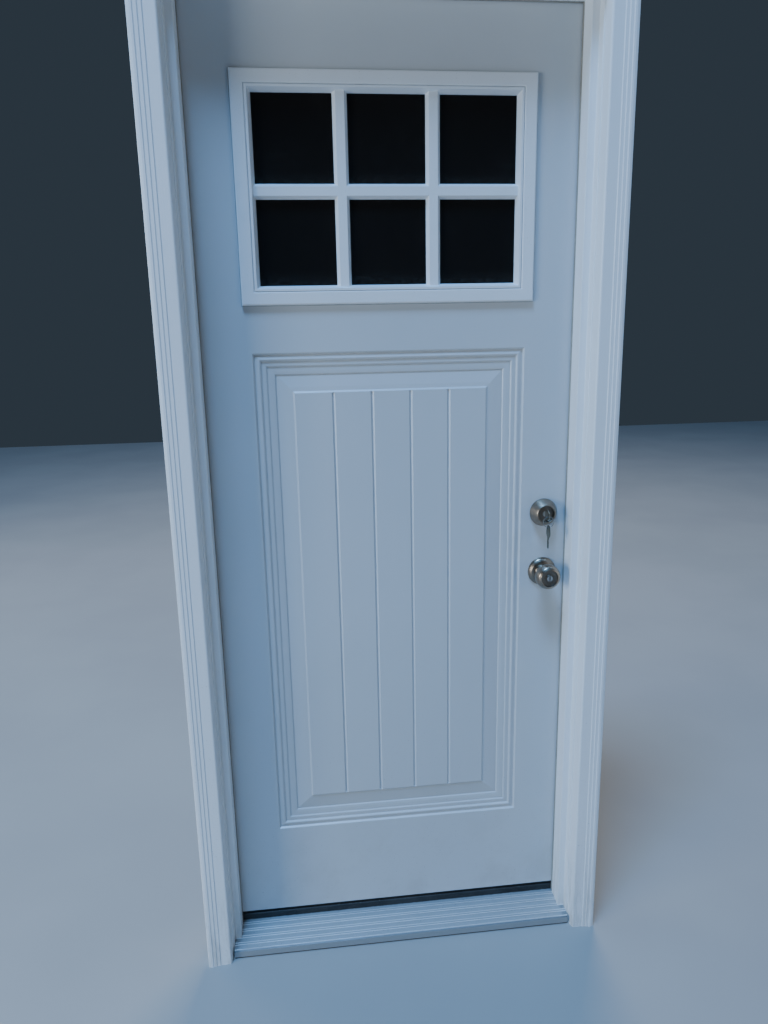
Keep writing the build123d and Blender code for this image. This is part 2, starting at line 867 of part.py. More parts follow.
lb_x0 = 296.0  # lock block, clear of the panel moulding
lb_z0, lb_z1 = 700.0, 1250.0
with BuildPart() as lock_block:
    add(block(lb_x0, core_x, yc0, yc1, lb_z0, lb_z1))
    for z in (knob_z, bolt_z):
        add(rod(bore_r, (lock_x, y_out - 5, z), (0, 1, 0), 60), mode=Mode.SUBTRACT)
        add(rod(edge_bore_r, (lock_x - 14, mid_y, z), (1, 0, 0), 60), mode=Mode.SUBTRACT)
put(lock_block.part, "lock_block")

# the foam fills the leaf and follows the back of both skins
with BuildPart() as foam_core:
    add(block(-core_x, core_x, yc0, yc1, core_z0, core_z1))
    add(
        block(
            -lite_hole_w / 2,
            lite_hole_w / 2,
            yc0 - 5,
            yc1 + 5,
            lite_z - lite_hole_h / 2,
            lite_z + lite_hole_h / 2,
        ),
        mode=Mode.SUBTRACT,
    )
    add(block(lb_x0, core_x + 1, yc0 - 5, yc1 + 5, lb_z0, lb_z1), mode=Mode.SUBTRACT)
    for y_face, sign in ((y_out, 1), (y_in, -1)):
        back = sec(y_face, sign, skin_t)
        shut = [(pan_in, y_face + sign * skin_t - sign * 3.0), (0.0, y_face + sign * skin_t - sign * 3.0)]
        add(ring(pan_w, pan_h, pan_z, back + shut), mode=Mode.SUBTRACT)
        f = field_pts(y_face, sign, skin_t)
        f += [(field_w / 2, y_face - sign * 1.0), (-field_w / 2, y_face - sign * 1.0)]
        add(prism_z(f, pan_bot + pan_in, pan_top - pan_in), mode=Mode.SUBTRACT)
put(foam_core.part, "foam_core")

# ---- window
leg_s = (lite_w - lite_hole_w) / 2 + 0.2  # outside of the leg, clear of the cut-out
glass_back = glass_y + igu_t
boss_s = (lite_w - igu_w) / 2 - 0.4  # the wall beside the glass's edge

ext_lite = [
    (0.0, y_out),
    (0.0, y_out - 4.2),
    (0.8, y_out - 6.6),
    (3.2, y_out - lite_proud),
    (lite_lip - 0.2 - seam_v, y_out - lite_proud),
    (lite_lip - 0.2, y_out - lite_proud + seam_v),
    (lite_lip - 0.2, glass_y - 0.1),
    (boss_s, glass_y - 0.1),
    (boss_s, glass_back - 0.6),
    (leg_s, glass_back - 0.6),
    (leg_s, y_out),
]
screw_s = (leg_s + boss_s) / 2
lite_screws = []
for xx in (-240.0, -80.0, 80.0, 240.0):
    for sz in (-1, 1):
        lite_screws.append((xx, lite_z + sz * (lite_h / 2 - screw_s)))
for zz in (-110.0, 110.0):
    for sx in (-1, 1):
        lite_screws.append((sx * (lite_w / 2 - screw_s), lite_z + zz))

with BuildPart() as exterior_lite_frame:
    add(ring(lite_w, lite_h, lite_z, ext_lite))
    for xx, zz in lite_screws:
        add(rod(1.35, (xx, glass_back + 1, zz), (0, -1, 0), 13), mode=Mode.SUBTRACT)
put(exterior_lite_frame.part, "exterior_lite_frame")

y_ip = y_in + lite_proud
int_lite = [
    (0.0, y_in),
    (0.0, y_in + 4.2),
    (0.8, y_in + 6.6),
    (3.2, y_ip),
    (lite_lip - 0.2 - seam_v, y_ip),
    (lite_lip - 0.2, y_ip - seam_v),
    (lite_lip - 0.2, glass_back + 0.1),
    (leg_s, glass_back + 0.1),
    (leg_s, y_in),
]
with BuildPart() as interior_lite_frame:
    add(ring(lite_w, lite_h, lite_z, int_lite))
    for xx, zz in lite_screws:
        add(rod(3.6, (xx, y_ip + 1, zz), (0, -1, 0), 9.0), mode=Mode.SUBTRACT)
        add(rod(1.5, (xx, y_ip + 1, zz), (0, -1, 0), 40.0), mode=Mode.SUBTRACT)
put(interior_lite_frame.part, "interior_lite_frame")

with BuildPart() as lite_frame_screws:
    for xx, zz in lite_screws:
        y_h = y_ip - 8.0
        add(rod(3.2, (xx, y_h + 2.0, zz), (0, -1, 0), 2.0))
        add(rod(1.3, (xx, y_h, zz), (0, -1, 0), y_h - 87.5))
        with BuildSketch(Plane(origin=(xx, y_h + 2.0, zz), z_dir=(0, -1, 0))):
            Rectangle(3.4, 0.7)
            Rectangle(0.7, 3.4)
        extrude(amount=1.2, mode=Mode.SUBTRACT)
put(lite_frame_screws.part, "lite_frame_screws")

with BuildPart() as lite_screw_plugs:
    for xx, zz in lite_screws:
        add(rod(3.5, (xx, y_ip + 0.5, zz), (0, -1, 0), 4.6))
        add(rod(4.6, (xx, y_ip + 0.9, zz), (0, -1, 0), 0.85))
put(lite_screw_plugs.part, "lite_screw_plugs")

grille_w = lite_w - 2 * lite_lip - 0.4
grille_h = lite_h - 2 * lite_lip - 0.4
border = (grille_w - sight_w) / 2


def grille(y_top, y_glass, y_bar):
    """a border that slopes from the frame's face down to the glass, with two upright bars and one across"""
    s = 1 if y_glass > y_top else -1
    edge = [
        (0.0, y_glass),
        (0.0, y_top + s * seam_v),
        (1.3, y_top),
        (5.3, y_top),
        (border, y_glass - s * 1.0),
        (border, y_glass),
    ]
    b = border - 3.0
    with BuildPart() as p:
        add(ring(grille_w, grille_h, lite_z, edge))
        for xx in (-bar_x, bar_x):
            bar = [
                (xx - bar_w / 2, y_glass),
                (xx - bar_w / 2, y_glass - s * 1.0),
                (xx - bar_face / 2, y_bar),
                (xx + bar_face / 2, y_bar),
                (xx + bar_w / 2, y_glass - s * 1.0),
                (xx + bar_w / 2, y_glass),
            ]
            add(prism_z(bar, lite_z - sight_h / 2 - 4.0, lite_z + sight_h / 2 + 4.0))
        bar = [
            (y_glass, lite_z - bar_w / 2),
            (y_glass - s * 1.0, lite_z - bar_w / 2),
            (y_bar, lite_z - bar_face / 2),
            (y_bar, lite_z + bar_face / 2),
            (y_glass - s * 1.0, lite_z + bar_w / 2),
            (y_glass, lite_z + bar_w / 2),
        ]
        add(prism_x(bar, -sight_w / 2 - 4.0, sight_w / 2 + 4.0))
    return p.part


put(grille(y_out - lite_proud + 0.6, glass_y - 0.1, y_out + 0.2), "exterior_grille")
put(grille(y_ip - 0.6, glass_back + 0.1, glass_back + 11.3), "interior_grille")

gx, gz = igu_w / 2, igu_h / 2
put(block(-gx, gx, glass_y, glass_y + glass_t, lite_z - gz, lite_z + gz), "glass_outer")
put(block(-gx, gx, glass_back - glass_t, glass_back, lite_z - gz, lite_z + gz), "glass_inner")
put(
    ring(
        igu_w - 1.0,
        igu_h - 1.0,
        lite_z,
        [
            (0.0, glass_y + glass_t),
            (8.0, glass_y + glass_t),
            (8.0, glass_back - glass_t),
            (0.0, glass_back - glass_t),
        ],
    ),
    "glass_spacer",
)

# ---- sweep under the leaf: a base and four soft fins over the threshold rail
with BuildPart() as door_sweep:
    with BuildSketch(Plane.YZ.offset(-x_edge + 2.0)):
        Polygon(
            (yc0 + 1.0, slab_bottom),
            (yc1 - 1.0, slab_bottom),
            (yc1 - 1.0, 55.3),
            (109.8, 55.3),
            (107.2, 49.9),
            (105.8, 49.9),
            (107.6, 55.3),
            (99.8, 55.3),
            (97.2, 49.9),
            (95.8, 49.9),
            (97.6, 55.3),
            (89.8, 55.3),
            (87.2, 49.9),
            (85.8, 49.9),
            (87.6, 55.3),
            (80.4, 55.3),
            (77.6, 49.9),
            (75.9, 49.9),
            (74.6, 52.9),
            (yc0 + 1.0, 52.9),
            align=None,
        )
    extrude(amount=slab_w - 4.0)
put(door_sweep.part, "door_sweep")

# ---- lock parts fixed to the leaf
collar_y = [  # radius, distance out from the leaf's face
    (7.15, 16.9),
    (17.2, 16.9),
    (17.7, 17.5),
    (18.0, 22.0),
    (18.4, 23.2),
    (19.3, 23.9),
    (20.6, 23.8),
    (21.8, 22.9),
    (23.6, 20.2),
    (26.2, 15.6),
    (28.6, 10.6),
    (30.4, 5.8),
    (31.3, 3.6),
    (31.75, 2.4),
    (31.75, 0.0),
    (14.0, 0.0),
    (14.0, -9.0),
    (7.15, -9.0),
]
mount_dz = 19.5
with BuildPart() as deadbolt_collar:
    add(turned(lock_x, bolt_z, [(r, y_out - h) for r, h in collar_y]))
    for dz in (-mount_dz, mount_dz):
        add(rod(2.5, (lock_x, y_out + 1, bolt_z + dz), (0, -1, 0), 9.0), mode=Mode.SUBTRACT)
put(deadbolt_collar.part, "deadbolt_collar")

inner_plate_y = [
    (5.2, 0.0),
    (31.0, 0.0),
    (31.0, 3.0),
    (30.0, 5.4),
    (27.0, 7.6),
    (22.0, 8.8),
    (12.0, 9.4),
    (10.5, 10.4),
    (8.0, 10.8),
    (5.2, 10.8),
]
with BuildPart() as deadbolt_inner_plate:
    add(turned(lock_x, bolt_z, [(r, y_in + h) for r, h in inner_plate_y]))
    for dz in (-mount_dz, mount_dz):
        add(rod(2.6, (lock_x, y_in - 1, bolt_z + dz), (0, 1, 0), 14), mode=Mode.SUBTRACT)
        add(rod(4.3, (lock_x, y_in + 5.6, bolt_z + dz), (0, 1, 0), 10), mode=Mode.SUBTRACT)
put(deadbolt_inner_plate.part, "deadbolt_inner_plate")


def long_screws(z, y_head, length):
    with BuildPart() as p:
        for dz in (-mount_dz, mount_dz):
            add(rod(4.0, (lock_x, y_head + 2.4, z + dz), (0, -1, 0), 2.4))
            add(rod(2.3, (lock_x, y_head, z + dz), (0, -1, 0), length))
            with BuildSketch(Plane(origin=(lock_x, y_head + 2.4, z + dz), z_dir=(0, -1, 0))):
                Rectangle(4.4, 0.9)
                Rectangle(0.9, 4.4)
            extrude(amount=1.4, mode=Mode.SUBTRACT)
    return p.part



def edge_case(z, hole_w, hole_h, inner_r, round_hole=0.0):
    """a faceplate let into the leaf's edge, with the tube behind it, a hub hole for the spindle and an open back"""
    with BuildPart() as p:
        with BuildSketch(Plane.YZ.offset(x_edge - plate_t)):
            with Locations((mid_y, z)):
                RectangleRounded(plate_w - 0.2, plate_h - 0.2, 6.35)
        extrude(amount=plate_t)
        add(rod(12.4, (lock_x - 12.0, mid_y, z), (1, 0, 0), x_edge - plate_t - lock_x + 12.0))
        add(rod(inner_r, (lock_x - 10.0, mid_y, z), (1, 0, 0), x_edge - plate_t - lock_x + 10.0), mode=Mode.SUBTRACT)
        if round_hole:
            with BuildPart(mode=Mode.PRIVATE) as hole:
                with BuildSketch(Plane.YZ.offset(x_edge - plate_t - 1)):
                    with Locations((mid_y, z)):
                        Circle(round_hole)
                        Rectangle(hole_w, 40, mode=Mode.INTERSECT)
                extrude(amount=plate_t + 2)
            add(hole.part, mode=Mode.SUBTRACT)
        else:
            with BuildSketch(Plane.YZ.offset(x_edge - plate_t - 1)):
                with Locations((mid_y, z)):
                    Rectangle(hole_w, hole_h)
            extrude(amount=plate_t + 2, mode=Mode.SUBTRACT)
        # the spindle or tailpiece passes across the tube
        add(rod(6.2, (lock_x, mid_y - 20, z), (0, 1, 0), 40), mode=Mode.SUBTRACT)
        for dz in (-screw_dz, screw_dz):
            add(rod(1.95, (x_edge - 5, mid_y, z + dz), (1, 0, 0), 8), mode=Mode.SUBTRACT)
            add(csk_cut((x_edge + 0.01, mid_y, z + dz), (-1, 0, 0), 3.7, 1.5, 1.95, 4), mode=Mode.SUBTRACT)
    return p.part


put(edge_case(knob_z, latch_w + 0.5, latch_h + 0.5, 11.1), "latch_case")
put(edge_case(bolt_z, bolt_w + 0.3, 30, 11.1, bolt_r + 0.2), "deadbolt_case")

with BuildPart() as faceplate_screws:
    for z in (knob_z, bolt_z):
        for dz in (-screw_dz, screw_dz):
            add(screw_flat((x_edge - 0.05, mid_y, z + dz), (-1, 0, 0), 3.6, 1.4, 1.8, 19.0))
put(faceplate_screws.part, "faceplate_screws")

rose_y = [
    (13.2, 0.0),
    (33.0, 0.0),
    (33.0, 2.0),
    (32.2, 3.4),
    (30.2, 4.2),
    (29.0, 5.6),
    (25.5, 8.2),
    (21.0, 10.0),
    (17.5, 10.8),
    (15.8, 12.2),
    (13.2, 12.6),
]
with BuildPart() as exterior_knob_rose:
    add(turned(lock_x, knob_z, [(r, y_out - h) for r, h in rose_y]))
    for dz in (-mount_dz, mount_dz):
        add(rod(2.5, (lock_x, y_out + 1, knob_z + dz), (0, -1, 0), 7.5), mode=Mode.SUBTRACT)
put(exterior_knob_rose.part, "exterior_knob_rose")

with BuildPart() as interior_knob_rose:
    add(turned(lock_x, knob_z, [(r, y_in + h) for r, h in rose_y]))
    for dz in (-mount_dz, mount_dz):
        add(rod(2.6, (lock_x, y_in - 1, knob_z + dz), (0, 1, 0), 18), mode=Mode.SUBTRACT)
        add(rod(4.3, (lock_x, y_in + 6.0, knob_z + dz), (0, 1, 0), 10), mode=Mode.SUBTRACT)
put(interior_knob_rose.part, "interior_knob_rose")

# four like screws clamp the two locks through the leaf
with BuildPart() as lock_mounting_screws:
    add(long_screws(bolt_z, y_in + 5.7, 56.0))
    add(long_screws(knob_z, y_in + 6.1, 56.0))
put(lock_mounting_screws.part, "lock_mounting_screws")

# ================================================================ pieces that turn and slide on the leaf

knob_rim = [(20.6, 60.9), (19.7, 61.2), (18.8, 60.6), (18.1, 58.8), (17.5, 57.7)]


def knob_body(face, sign, centre):
    """turned knob: neck, round body and a dished face; centre holds the middle's points"""
    with BuildPart() as p:
        with BuildSketch(Plane(origin=(lock_x, 0, knob_z), x_dir=(1, 0, 0), z_dir=(0, 0, 1))):
            with BuildLine():
                pts = [(r, face + sign * h) for r, h in knob_rim + centre]
                Polyline((0, face + sign * 4.0), (12.9, face + sign * 4.0), (12.9, face + sign * 17.0))
                Spline(
                    (12.9, face + sign * 17.0),
                    (15.9, face + sign * 23.0),
                    (22.6, face + sign * 29.5),
                    (27.3, face + sign * 37.0),
                    (28.5, face + sign * 45.0),
                    (27.4, face + sign * 52.5),
                    (24.4, face + sign * 58.0),
                    (20.6, face + sign * 60.9),
                    tangents=[(0, sign), (-1, sign * 0.8)],
                )
                Polyline(*pts)
                Line(pts[-1], (0, face + sign * 4.0))
            make_face()
        revolve(axis=Axis((lock_x, 0, knob_z), (0, 1, 0)))
        # square socket for the spindle
        a = 3.75
        y0, y1 = face + sign * 3.0, face + sign * 34.0
        add(block(lock_x - a, lock_x + a, min(y0, y1), max(y0, y1), knob_z - a, knob_z + a), mode=Mode.SUBTRACT)
    return p.part


with BuildPart() as exterior_knob:
    add(
        knob_body(
            y_out,
            -1,
            [(9.6, 57.0), (9.0, 57.4), (8.7, 60.0), (8.1, 60.8), (0.0, 60.8)],
        )
    )
    add(rod(6.55, (lock_x, y_out - 70, knob_z), (0, 1, 0), 34.0), mode=Mode.SUBTRACT)
put(exterior_knob.part, "exterior_knob")

with BuildPart() as interior_knob:
    add(knob_body(y_in, 1, [(9.6, 57.0), (8.6, 57.6), (7.6, 58.6), (0.0, 58.8)]))
    add(rod(4.2, (lock_x, y_in + 70, knob_z), (0, -1, 0), 30.0), mode=Mode.SUBTRACT)
put(interior_knob.part, "interior_knob")

put(
    block(lock_x - 3.6, lock_x + 3.6, y_out - 33.0, y_in + 33.0, knob_z - 3.6, knob_z + 3.6),
    "knob_spindle",
)

with BuildPart() as knob_plug:
    add(rod(6.45, (lock_x, y_out - 61.2, knob_z), (0, 1, 0), 24.8))
    # keyway
    add(block(lock_x - 1.3, lock_x + 1.3, y_out - 70, y_out - 40.0, knob_z - 4.6, knob_z + 4.4), mode=Mode.SUBTRACT)
put(knob_plug.part, "knob_plug")

with BuildPart() as knob_lock_button:
    add(rod(4.1, (lock_x, y_in + 62.6, knob_z), (0, -1, 0), 22.0))
    with BuildSketch(Plane(origin=(lock_x, y_in + 62.6, knob_z), z_dir=(0, -1, 0))):
        Rectangle(8.4, 1.2)
    extrude(amount=1.4, mode=Mode.SUBTRACT)
put(knob_lock_button.part, "knob_lock_button")

# latch bolt, drawn back flush; its slope faces the outside
lx1 = x_edge - 0.3
with BuildPart() as latch_bolt:
    with BuildSketch(Plane.YZ.offset(lock_x + 8.0)):
        with Locations((mid_y, knob_z)):
            Circle(10.7)
            Rectangle(latch_w, latch_h, mode=Mode.INTERSECT)
    extrude(amount=lx1 - lock_x - 8.0)
    add(
        prism_z(
            [
                (lx1 + 1, mid_y - latch_w / 2 - 1),
                (lx1 - 12.0, mid_y - latch_w / 2 - 1),
                (lx1 - 11.0, mid_y - latch_w / 2),
                (lx1 - 0.6, mid_y + latch_w / 2 - 2.2),
                (lx1 + 1, mid_y + latch_w / 2 - 2.2),
            ],
            knob_z - 15,
            knob_z + 15,
        ),
        mode=Mode.SUBTRACT,
    )
put(latch_bolt.part, "latch_bolt")

with BuildPart() as deadbolt_bolt:
    with BuildSketch(Plane.YZ.offset(lock_x + 8.0)):
        with Locations((mid_y, bolt_z)):
            Circle(bolt_r)
            Rectangle(bolt_w, 40, mode=Mode.INTERSECT)
    extrude(amount=lx1 - lock_x - 8.0)
    chamfer(deadbolt_bolt.faces().sort_by(Axis.X)[-1].edges(), 0.8)
put(deadbolt_bolt.part, "deadbolt_bolt")

# outside cylinder's plug with the flat tailpiece behind it
plug_front = y_out - 17.6
with BuildPart() as deadbolt_plug:
    add(rod(7.05, (lock_x, plug_front, bolt_z), (0, 1, 0), y_out + 8.8 - plug_front))
    add(block(lock_x - 1.3, lock_x + 1.3, plug_front - 1, plug_front + 25.6, bolt_z - 4.6, bolt_z + 4.4), mode=Mode.SUBTRACT)
    add(block(lock_x - 1.0, lock_x + 1.0, y_out + 8.0, y_in + 12.0, bolt_z - 2.9, bolt_z + 2.9))
put(deadbolt_plug.part, "deadbolt_plug")

with BuildPart() as thumbturn:
    add(rod(5.0, (lock_x, y_in + 1.0, bolt_z), (0, 1, 0), 12.5))
    with BuildSketch(Plane(origin=(lock_x, y_in + 11.4, bolt_z), x_dir=(1, 0, 0), z_dir=(0, 1, 0))):
        SlotOverall(36.0, 9.0, rotation=90)
    with BuildSketch(Plane(origin=(lock_x, y_in + 27.0, bolt_z), x_dir=(1, 0, 0), z_dir=(0, 1, 0))):
        SlotOverall(33.0, 5.6, rotation=90)
    loft()
    fillet(thumbturn.faces().sort_by(Axis.Y)[-1].edges(), 1.6)
    add(rod(3.25, (lock_x, y_in, bolt_z), (0, 1, 0), 13.0), mode=Mode.SUBTRACT)
put(thumbturn.part, "thumbturn")

# ---- keys: a blade and a rounded bow with a hole
key_t = 2.0
bow_r = 12.0
hole_r = 3.4
key_sh, key_len = 26.0, 53.2  # tip to shoulder, tip to the end of the bow
key_hole = 6.2  # hole from the end of the bow


def key_outline(tip, shoulder, end):
    """(along, across) outline of a key from its tip to the end of its bow"""
    blade = 3.9
    cuts = [
        (tip + 2.0, -blade + 1.0),
        (tip + 4.5, -1.2),
        (tip + 7.0, -2.6),
        (tip + 9.5, -0.6),
        (tip + 12.0, -2.2),
        (tip + 15.0, -1.6),
        (tip + 18.0, -0.4),
        (tip + 21.0, -2.0),
        (shoulder - 3.0, -blade),
    ]
    return [(tip, 1.2), (tip, -0.6)] + cuts + [
        (shoulder, -blade),
        (shoulder, -5.4),
        (shoulder + 2.6, -8.6),
        (shoulder + 6.4, -bow_r + 0.4),
        (shoulder + 12.0, -bow_r),
        (shoulder + 17.6, -bow_r + 1.4),
        (end - 1.6, -6.6),
        (end, -2.4),
        (end, 2.4),
        (end - 1.6, 6.6),
        (shoulder + 17.6, bow_r - 1.4),
        (shoulder + 12.0, bow_r),
        (shoulder + 6.4, bow_r - 0.4),
        (shoulder + 2.6, 8.6),
        (shoulder, 5.4),
        (shoulder, blade),
        (tip + 3.0, blade),
    ]


# in the lock: it runs along Y, its bow outside
key_shoulder = plug_front - 1.2
ring_y = key_shoulder - (key_len - key_sh - key_hole)
with BuildPart() as door_key:
    outline = key_outline(0.0, key_sh, key_len)
    with BuildSketch(Plane.YZ.offset(lock_x - key_t / 2)):
        Polygon(*[(key_shoulder + key_sh - a, bolt_z + b) for a, b in outline], align=None)
        with Locations((ring_y, bolt_z)):
            Circle(hole_r, mode=Mode.SUBTRACT)
    extrude(amount=key_t)
put(door_key.part, "door_key")

ring_rr, wire_r = 12.0, 0.85
wire_d = 1.8  # the wire's middle from the middle of a key's hole
ring_cz = bolt_z - wire_d - ring_rr
with BuildPart() as key_ring:
    with BuildSketch(Plane(origin=(lock_x, ring_y, ring_cz), x_dir=(1, 0, 0), z_dir=(0, 0, 1))):
        with Locations((ring_rr, 0)):
            Circle(wire_r)
    revolve(axis=Axis((lock_x, ring_y, ring_cz), (0, 1, 0)))
put(key_ring.part, "key_ring")

# hanging from the ring, blade down, in the same upright plane
spare_hole_z = ring_cz - ring_rr - wire_d
spare_end = spare_hole_z + key_hole
with BuildPart() as spare_key:
    outline = key_outline(0.0, key_sh, key_len)
    with BuildSketch(Plane.YZ.offset(lock_x - key_t / 2)):
        Polygon(*[(ring_y + b, spare_end - key_len + a) for a, b in outline], align=None)
        with Locations((ring_y, spare_hole_z)):
            Circle(hole_r, mode=Mode.SUBTRACT)
    extrude(amount=key_t)
put(spare_key.part, "spare_key")

print("lock_x", lock_x, "knob_z", knob_z, "bolt_z", bolt_z, "mid_y", mid_y)
print("plug_front", plug_front, "ring_y", ring_y, "ring_cz", ring_cz, "spare_hole_z", spare_hole_z, "spare_tip", spare_end - key_len)
print("axis", axis_x, axis_y, "hinges", hinge_zs, "z_stop", z_stop, "z_head", z_head, "mould top", mz, "mould x", mx)
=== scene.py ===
import math

import bmesh
import bpy
from mathutils import Matrix, Vector


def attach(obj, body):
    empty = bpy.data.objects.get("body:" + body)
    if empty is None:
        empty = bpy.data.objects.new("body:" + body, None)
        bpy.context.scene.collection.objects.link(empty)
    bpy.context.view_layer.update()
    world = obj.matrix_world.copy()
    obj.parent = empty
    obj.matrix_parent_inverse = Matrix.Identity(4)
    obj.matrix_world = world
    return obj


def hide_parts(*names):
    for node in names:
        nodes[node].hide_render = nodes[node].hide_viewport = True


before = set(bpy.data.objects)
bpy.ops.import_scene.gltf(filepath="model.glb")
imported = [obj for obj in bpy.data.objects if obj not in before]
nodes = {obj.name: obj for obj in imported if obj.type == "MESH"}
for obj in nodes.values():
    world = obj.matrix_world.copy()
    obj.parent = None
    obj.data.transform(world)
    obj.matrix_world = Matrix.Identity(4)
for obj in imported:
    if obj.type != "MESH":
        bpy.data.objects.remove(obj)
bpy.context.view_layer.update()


# ------------------------------------------------------------------ sizes, in metres, in the row frame
LOCK_X = 0.342925
KNOB_Z = 0.8990
BOLT_Z = 1.0387
FACE_Y = 0.07145  # leaf's outside face
ROOM_Y = 0.1159  # leaf's room face
RING_Y = 0.03165
RING_Z = 1.0249
RING_R = 0.0120
LITE_Z = 1.7221  # middle of the window
LITE_HW, LITE_HH = 0.3048, 0.21985  # half its frame's width and height
PAN_HW, PAN_Z, PAN_HH = 0.2905, 0.8434, 0.5634  # moulded panel
MID_Y = 0.093675


# ------------------------------------------------------------------ material helper
class Mat:
    """A small wrapper that keeps the node code short. Coordinates are the object's own, which are the row frame's metres."""

    def __init__(self, name):
        self.m = bpy.data.materials.new(name)
        self.m.use_nodes = True
        self.t = self.m.node_tree
        self.t.nodes.clear()
        self.out = self.t.nodes.new("ShaderNodeOutputMaterial")
        self.b = self.t.nodes.new("ShaderNodeBsdfPrincipled")
        self.t.links.new(self.b.outputs[0], self.out.inputs[0])
        self.tc = self.t.nodes.new("ShaderNodeTexCoord").outputs["Object"]
        self._sep = None

    def put(self, sock, value):
        if hasattr(value, "is_output"):
            self.t.links.new(value, sock)
        else:
            sock.default_value = value

    def set(self, **kw):
        names = {
            "color": "Base Color",
            "rough": "Roughness",
            "metal": "Metallic",
            "ior": "IOR",
            "spec": "Specular IOR Level",
            "coat": "Coat Weight",
            "coat_rough": "Coat Roughness",
            "sheen": "Sheen Weight",
            "sheen_rough": "Sheen Roughness",
            "alpha": "Alpha",
            "normal": "Normal",
            "trans": "Transmission Weight",
            "sss": "Subsurface Weight",
        }
        for k, v in kw.items():
            s = self.b.inputs[names[k]]
            if k == "color" and not hasattr(v, "is_output"):
                v = (*v, 1.0)[:4]
            self.put(s, v)
        return self

    def xyz(self):
        if self._sep is None:
            n = self.t.nodes.new("ShaderNodeSeparateXYZ")
            self.t.links.new(self.tc, n.inputs[0])
            self._sep = n.outputs
        return self._sep

    def combine(self, x, y, z):
        n = self.t.nodes.new("ShaderNodeCombineXYZ")
        for s, v in zip(n.inputs, (x, y, z)):
            self.put(s, v)
        return n.outputs[0]

    def scaled(self, x, y, z, loc=(0, 0, 0), vec=None):
        n = self.t.nodes.new("ShaderNodeMapping")
        self.t.links.new(vec or self.tc, n.inputs[0])
        n.inputs["Scale"].default_value = (x, y, z)
        n.inputs["Location"].default_value = loc
        return n.outputs[0]

    def noise(self, scale=1.0, detail=3.0, rough=0.5, vec=None, distort=0.0, color=False):
        n = self.t.nodes.new("ShaderNodeTexNoise")
        self.t.links.new(vec or self.tc, n.inputs["Vector"])
        n.inputs["Scale"].default_value = scale
        n.inputs["Detail"].default_value = detail
        n.inputs["Roughness"].default_value = rough
        n.inputs["Distortion"].default_value = distort
        return n.outputs["Color" if color else "Fac"]

    def voronoi(self, scale, vec=None, feature="F1"):
        n = self.t.nodes.new("ShaderNodeTexVoronoi")
        n.feature = feature
        self.t.links.new(vec or self.tc, n.inputs["Vector"])
        n.inputs["Scale"].default_value = scale
        return n.outputs["Distance"]

    def math(self, op, a, b=0.0, c=None, clamp=False):
        n = self.t.nodes.new("ShaderNodeMath")
        n.operation = op
        n.use_clamp = clamp
        self.put(n.inputs[0], a)
        self.put(n.inputs[1], b)
        if c is not None:
            self.put(n.inputs[2], c)
        return n.outputs[0]

    def span(self, v, lo, hi, a=0.0, b=1.0, smooth=True):
        """maps v from lo..hi to a..b, clamped"""
        n = self.t.nodes.new("ShaderNodeMapRange")
        n.interpolation_type = "SMOOTHSTEP" if smooth else "LINEAR"
        n.clamp = True
        self.put(n.inputs["Value"], v)
        n.inputs["From Min"].default_value = lo
        n.inputs["From Max"].default_value = hi
        n.inputs["To Min"].default_value = a
        n.inputs["To Max"].default_value = b
        return n.outputs[0]

    def mix(self, fac, a, b, blend="MIX"):
        n = self.t.nodes.new("ShaderNodeMix")
        n.data_type = "RGBA"
        n.blend_type = blend
        n.clamp_factor = True
        self.put(n.inputs[0], fac)
        for s, v in ((n.inputs[6], a), (n.inputs[7], b)):
            if not hasattr(v, "is_output"):
                v = (*v, 1.0)[:4]
            self.put(s, v)
        return n.outputs[2]

    def lerp(self, fac, a, b):
        n = self.t.nodes.new("ShaderNodeMix")
        n.data_type = "FLOAT"
        self.put(n.inputs[0], fac)
        self.put(n.inputs[2], a)
        self.put(n.inputs[3], b)
        return n.outputs[0]

    def bump(self, height, dist, strength=1.0, normal=None):
        n = self.t.nodes.new("ShaderNodeBump")
        self.t.links.new(height, n.inputs["Height"])
        n.inputs["Distance"].default_value = dist
        n.inputs["Strength"].default_value = strength
        if normal is not None:
            self.t.links.new(normal, n.inputs["Normal"])
        return n.outputs[0]

    def inset(self, hw, cz, hh):
        """distance in from the edge of a rectangle centred on x = 0"""
        x, _, z = self.xyz()
        dx = self.math("SUBTRACT", hw, self.math("ABSOLUTE", x))
        dz = self.math("SUBTRACT", hh, self.math("ABSOLUTE", self.math("SUBTRACT", z, cz)))
        return self.math("MINIMUM", dx, dz)

    def line(self, v, at, half, soft=0.0004):
        """1 within half of at, fading over soft"""
        return self.span(self.math("ABSOLUTE", self.math("SUBTRACT", v, at)), half, half + soft, 1.0, 0.0)

    def radius(self, cx, cz):
        x, _, z = self.xyz()
        dx = self.math("SUBTRACT", x, cx)
        dz = self.math("SUBTRACT", z, cz)
        return self.math("SQRT", self.math("ADD", self.math("MULTIPLY", dx, dx), self.math("MULTIPLY", dz, dz)))


def streaks(m, along, fine=900.0, slow=7.0):
    """noise drawn out along one axis: brush marks, drawing lines or grain"""
    s = {"x": (slow, fine, fine), "y": (fine, slow, fine), "z": (fine, fine, slow)}[along]
    return m.noise(1.0, 2.0, 0.6, m.scaled(*s))


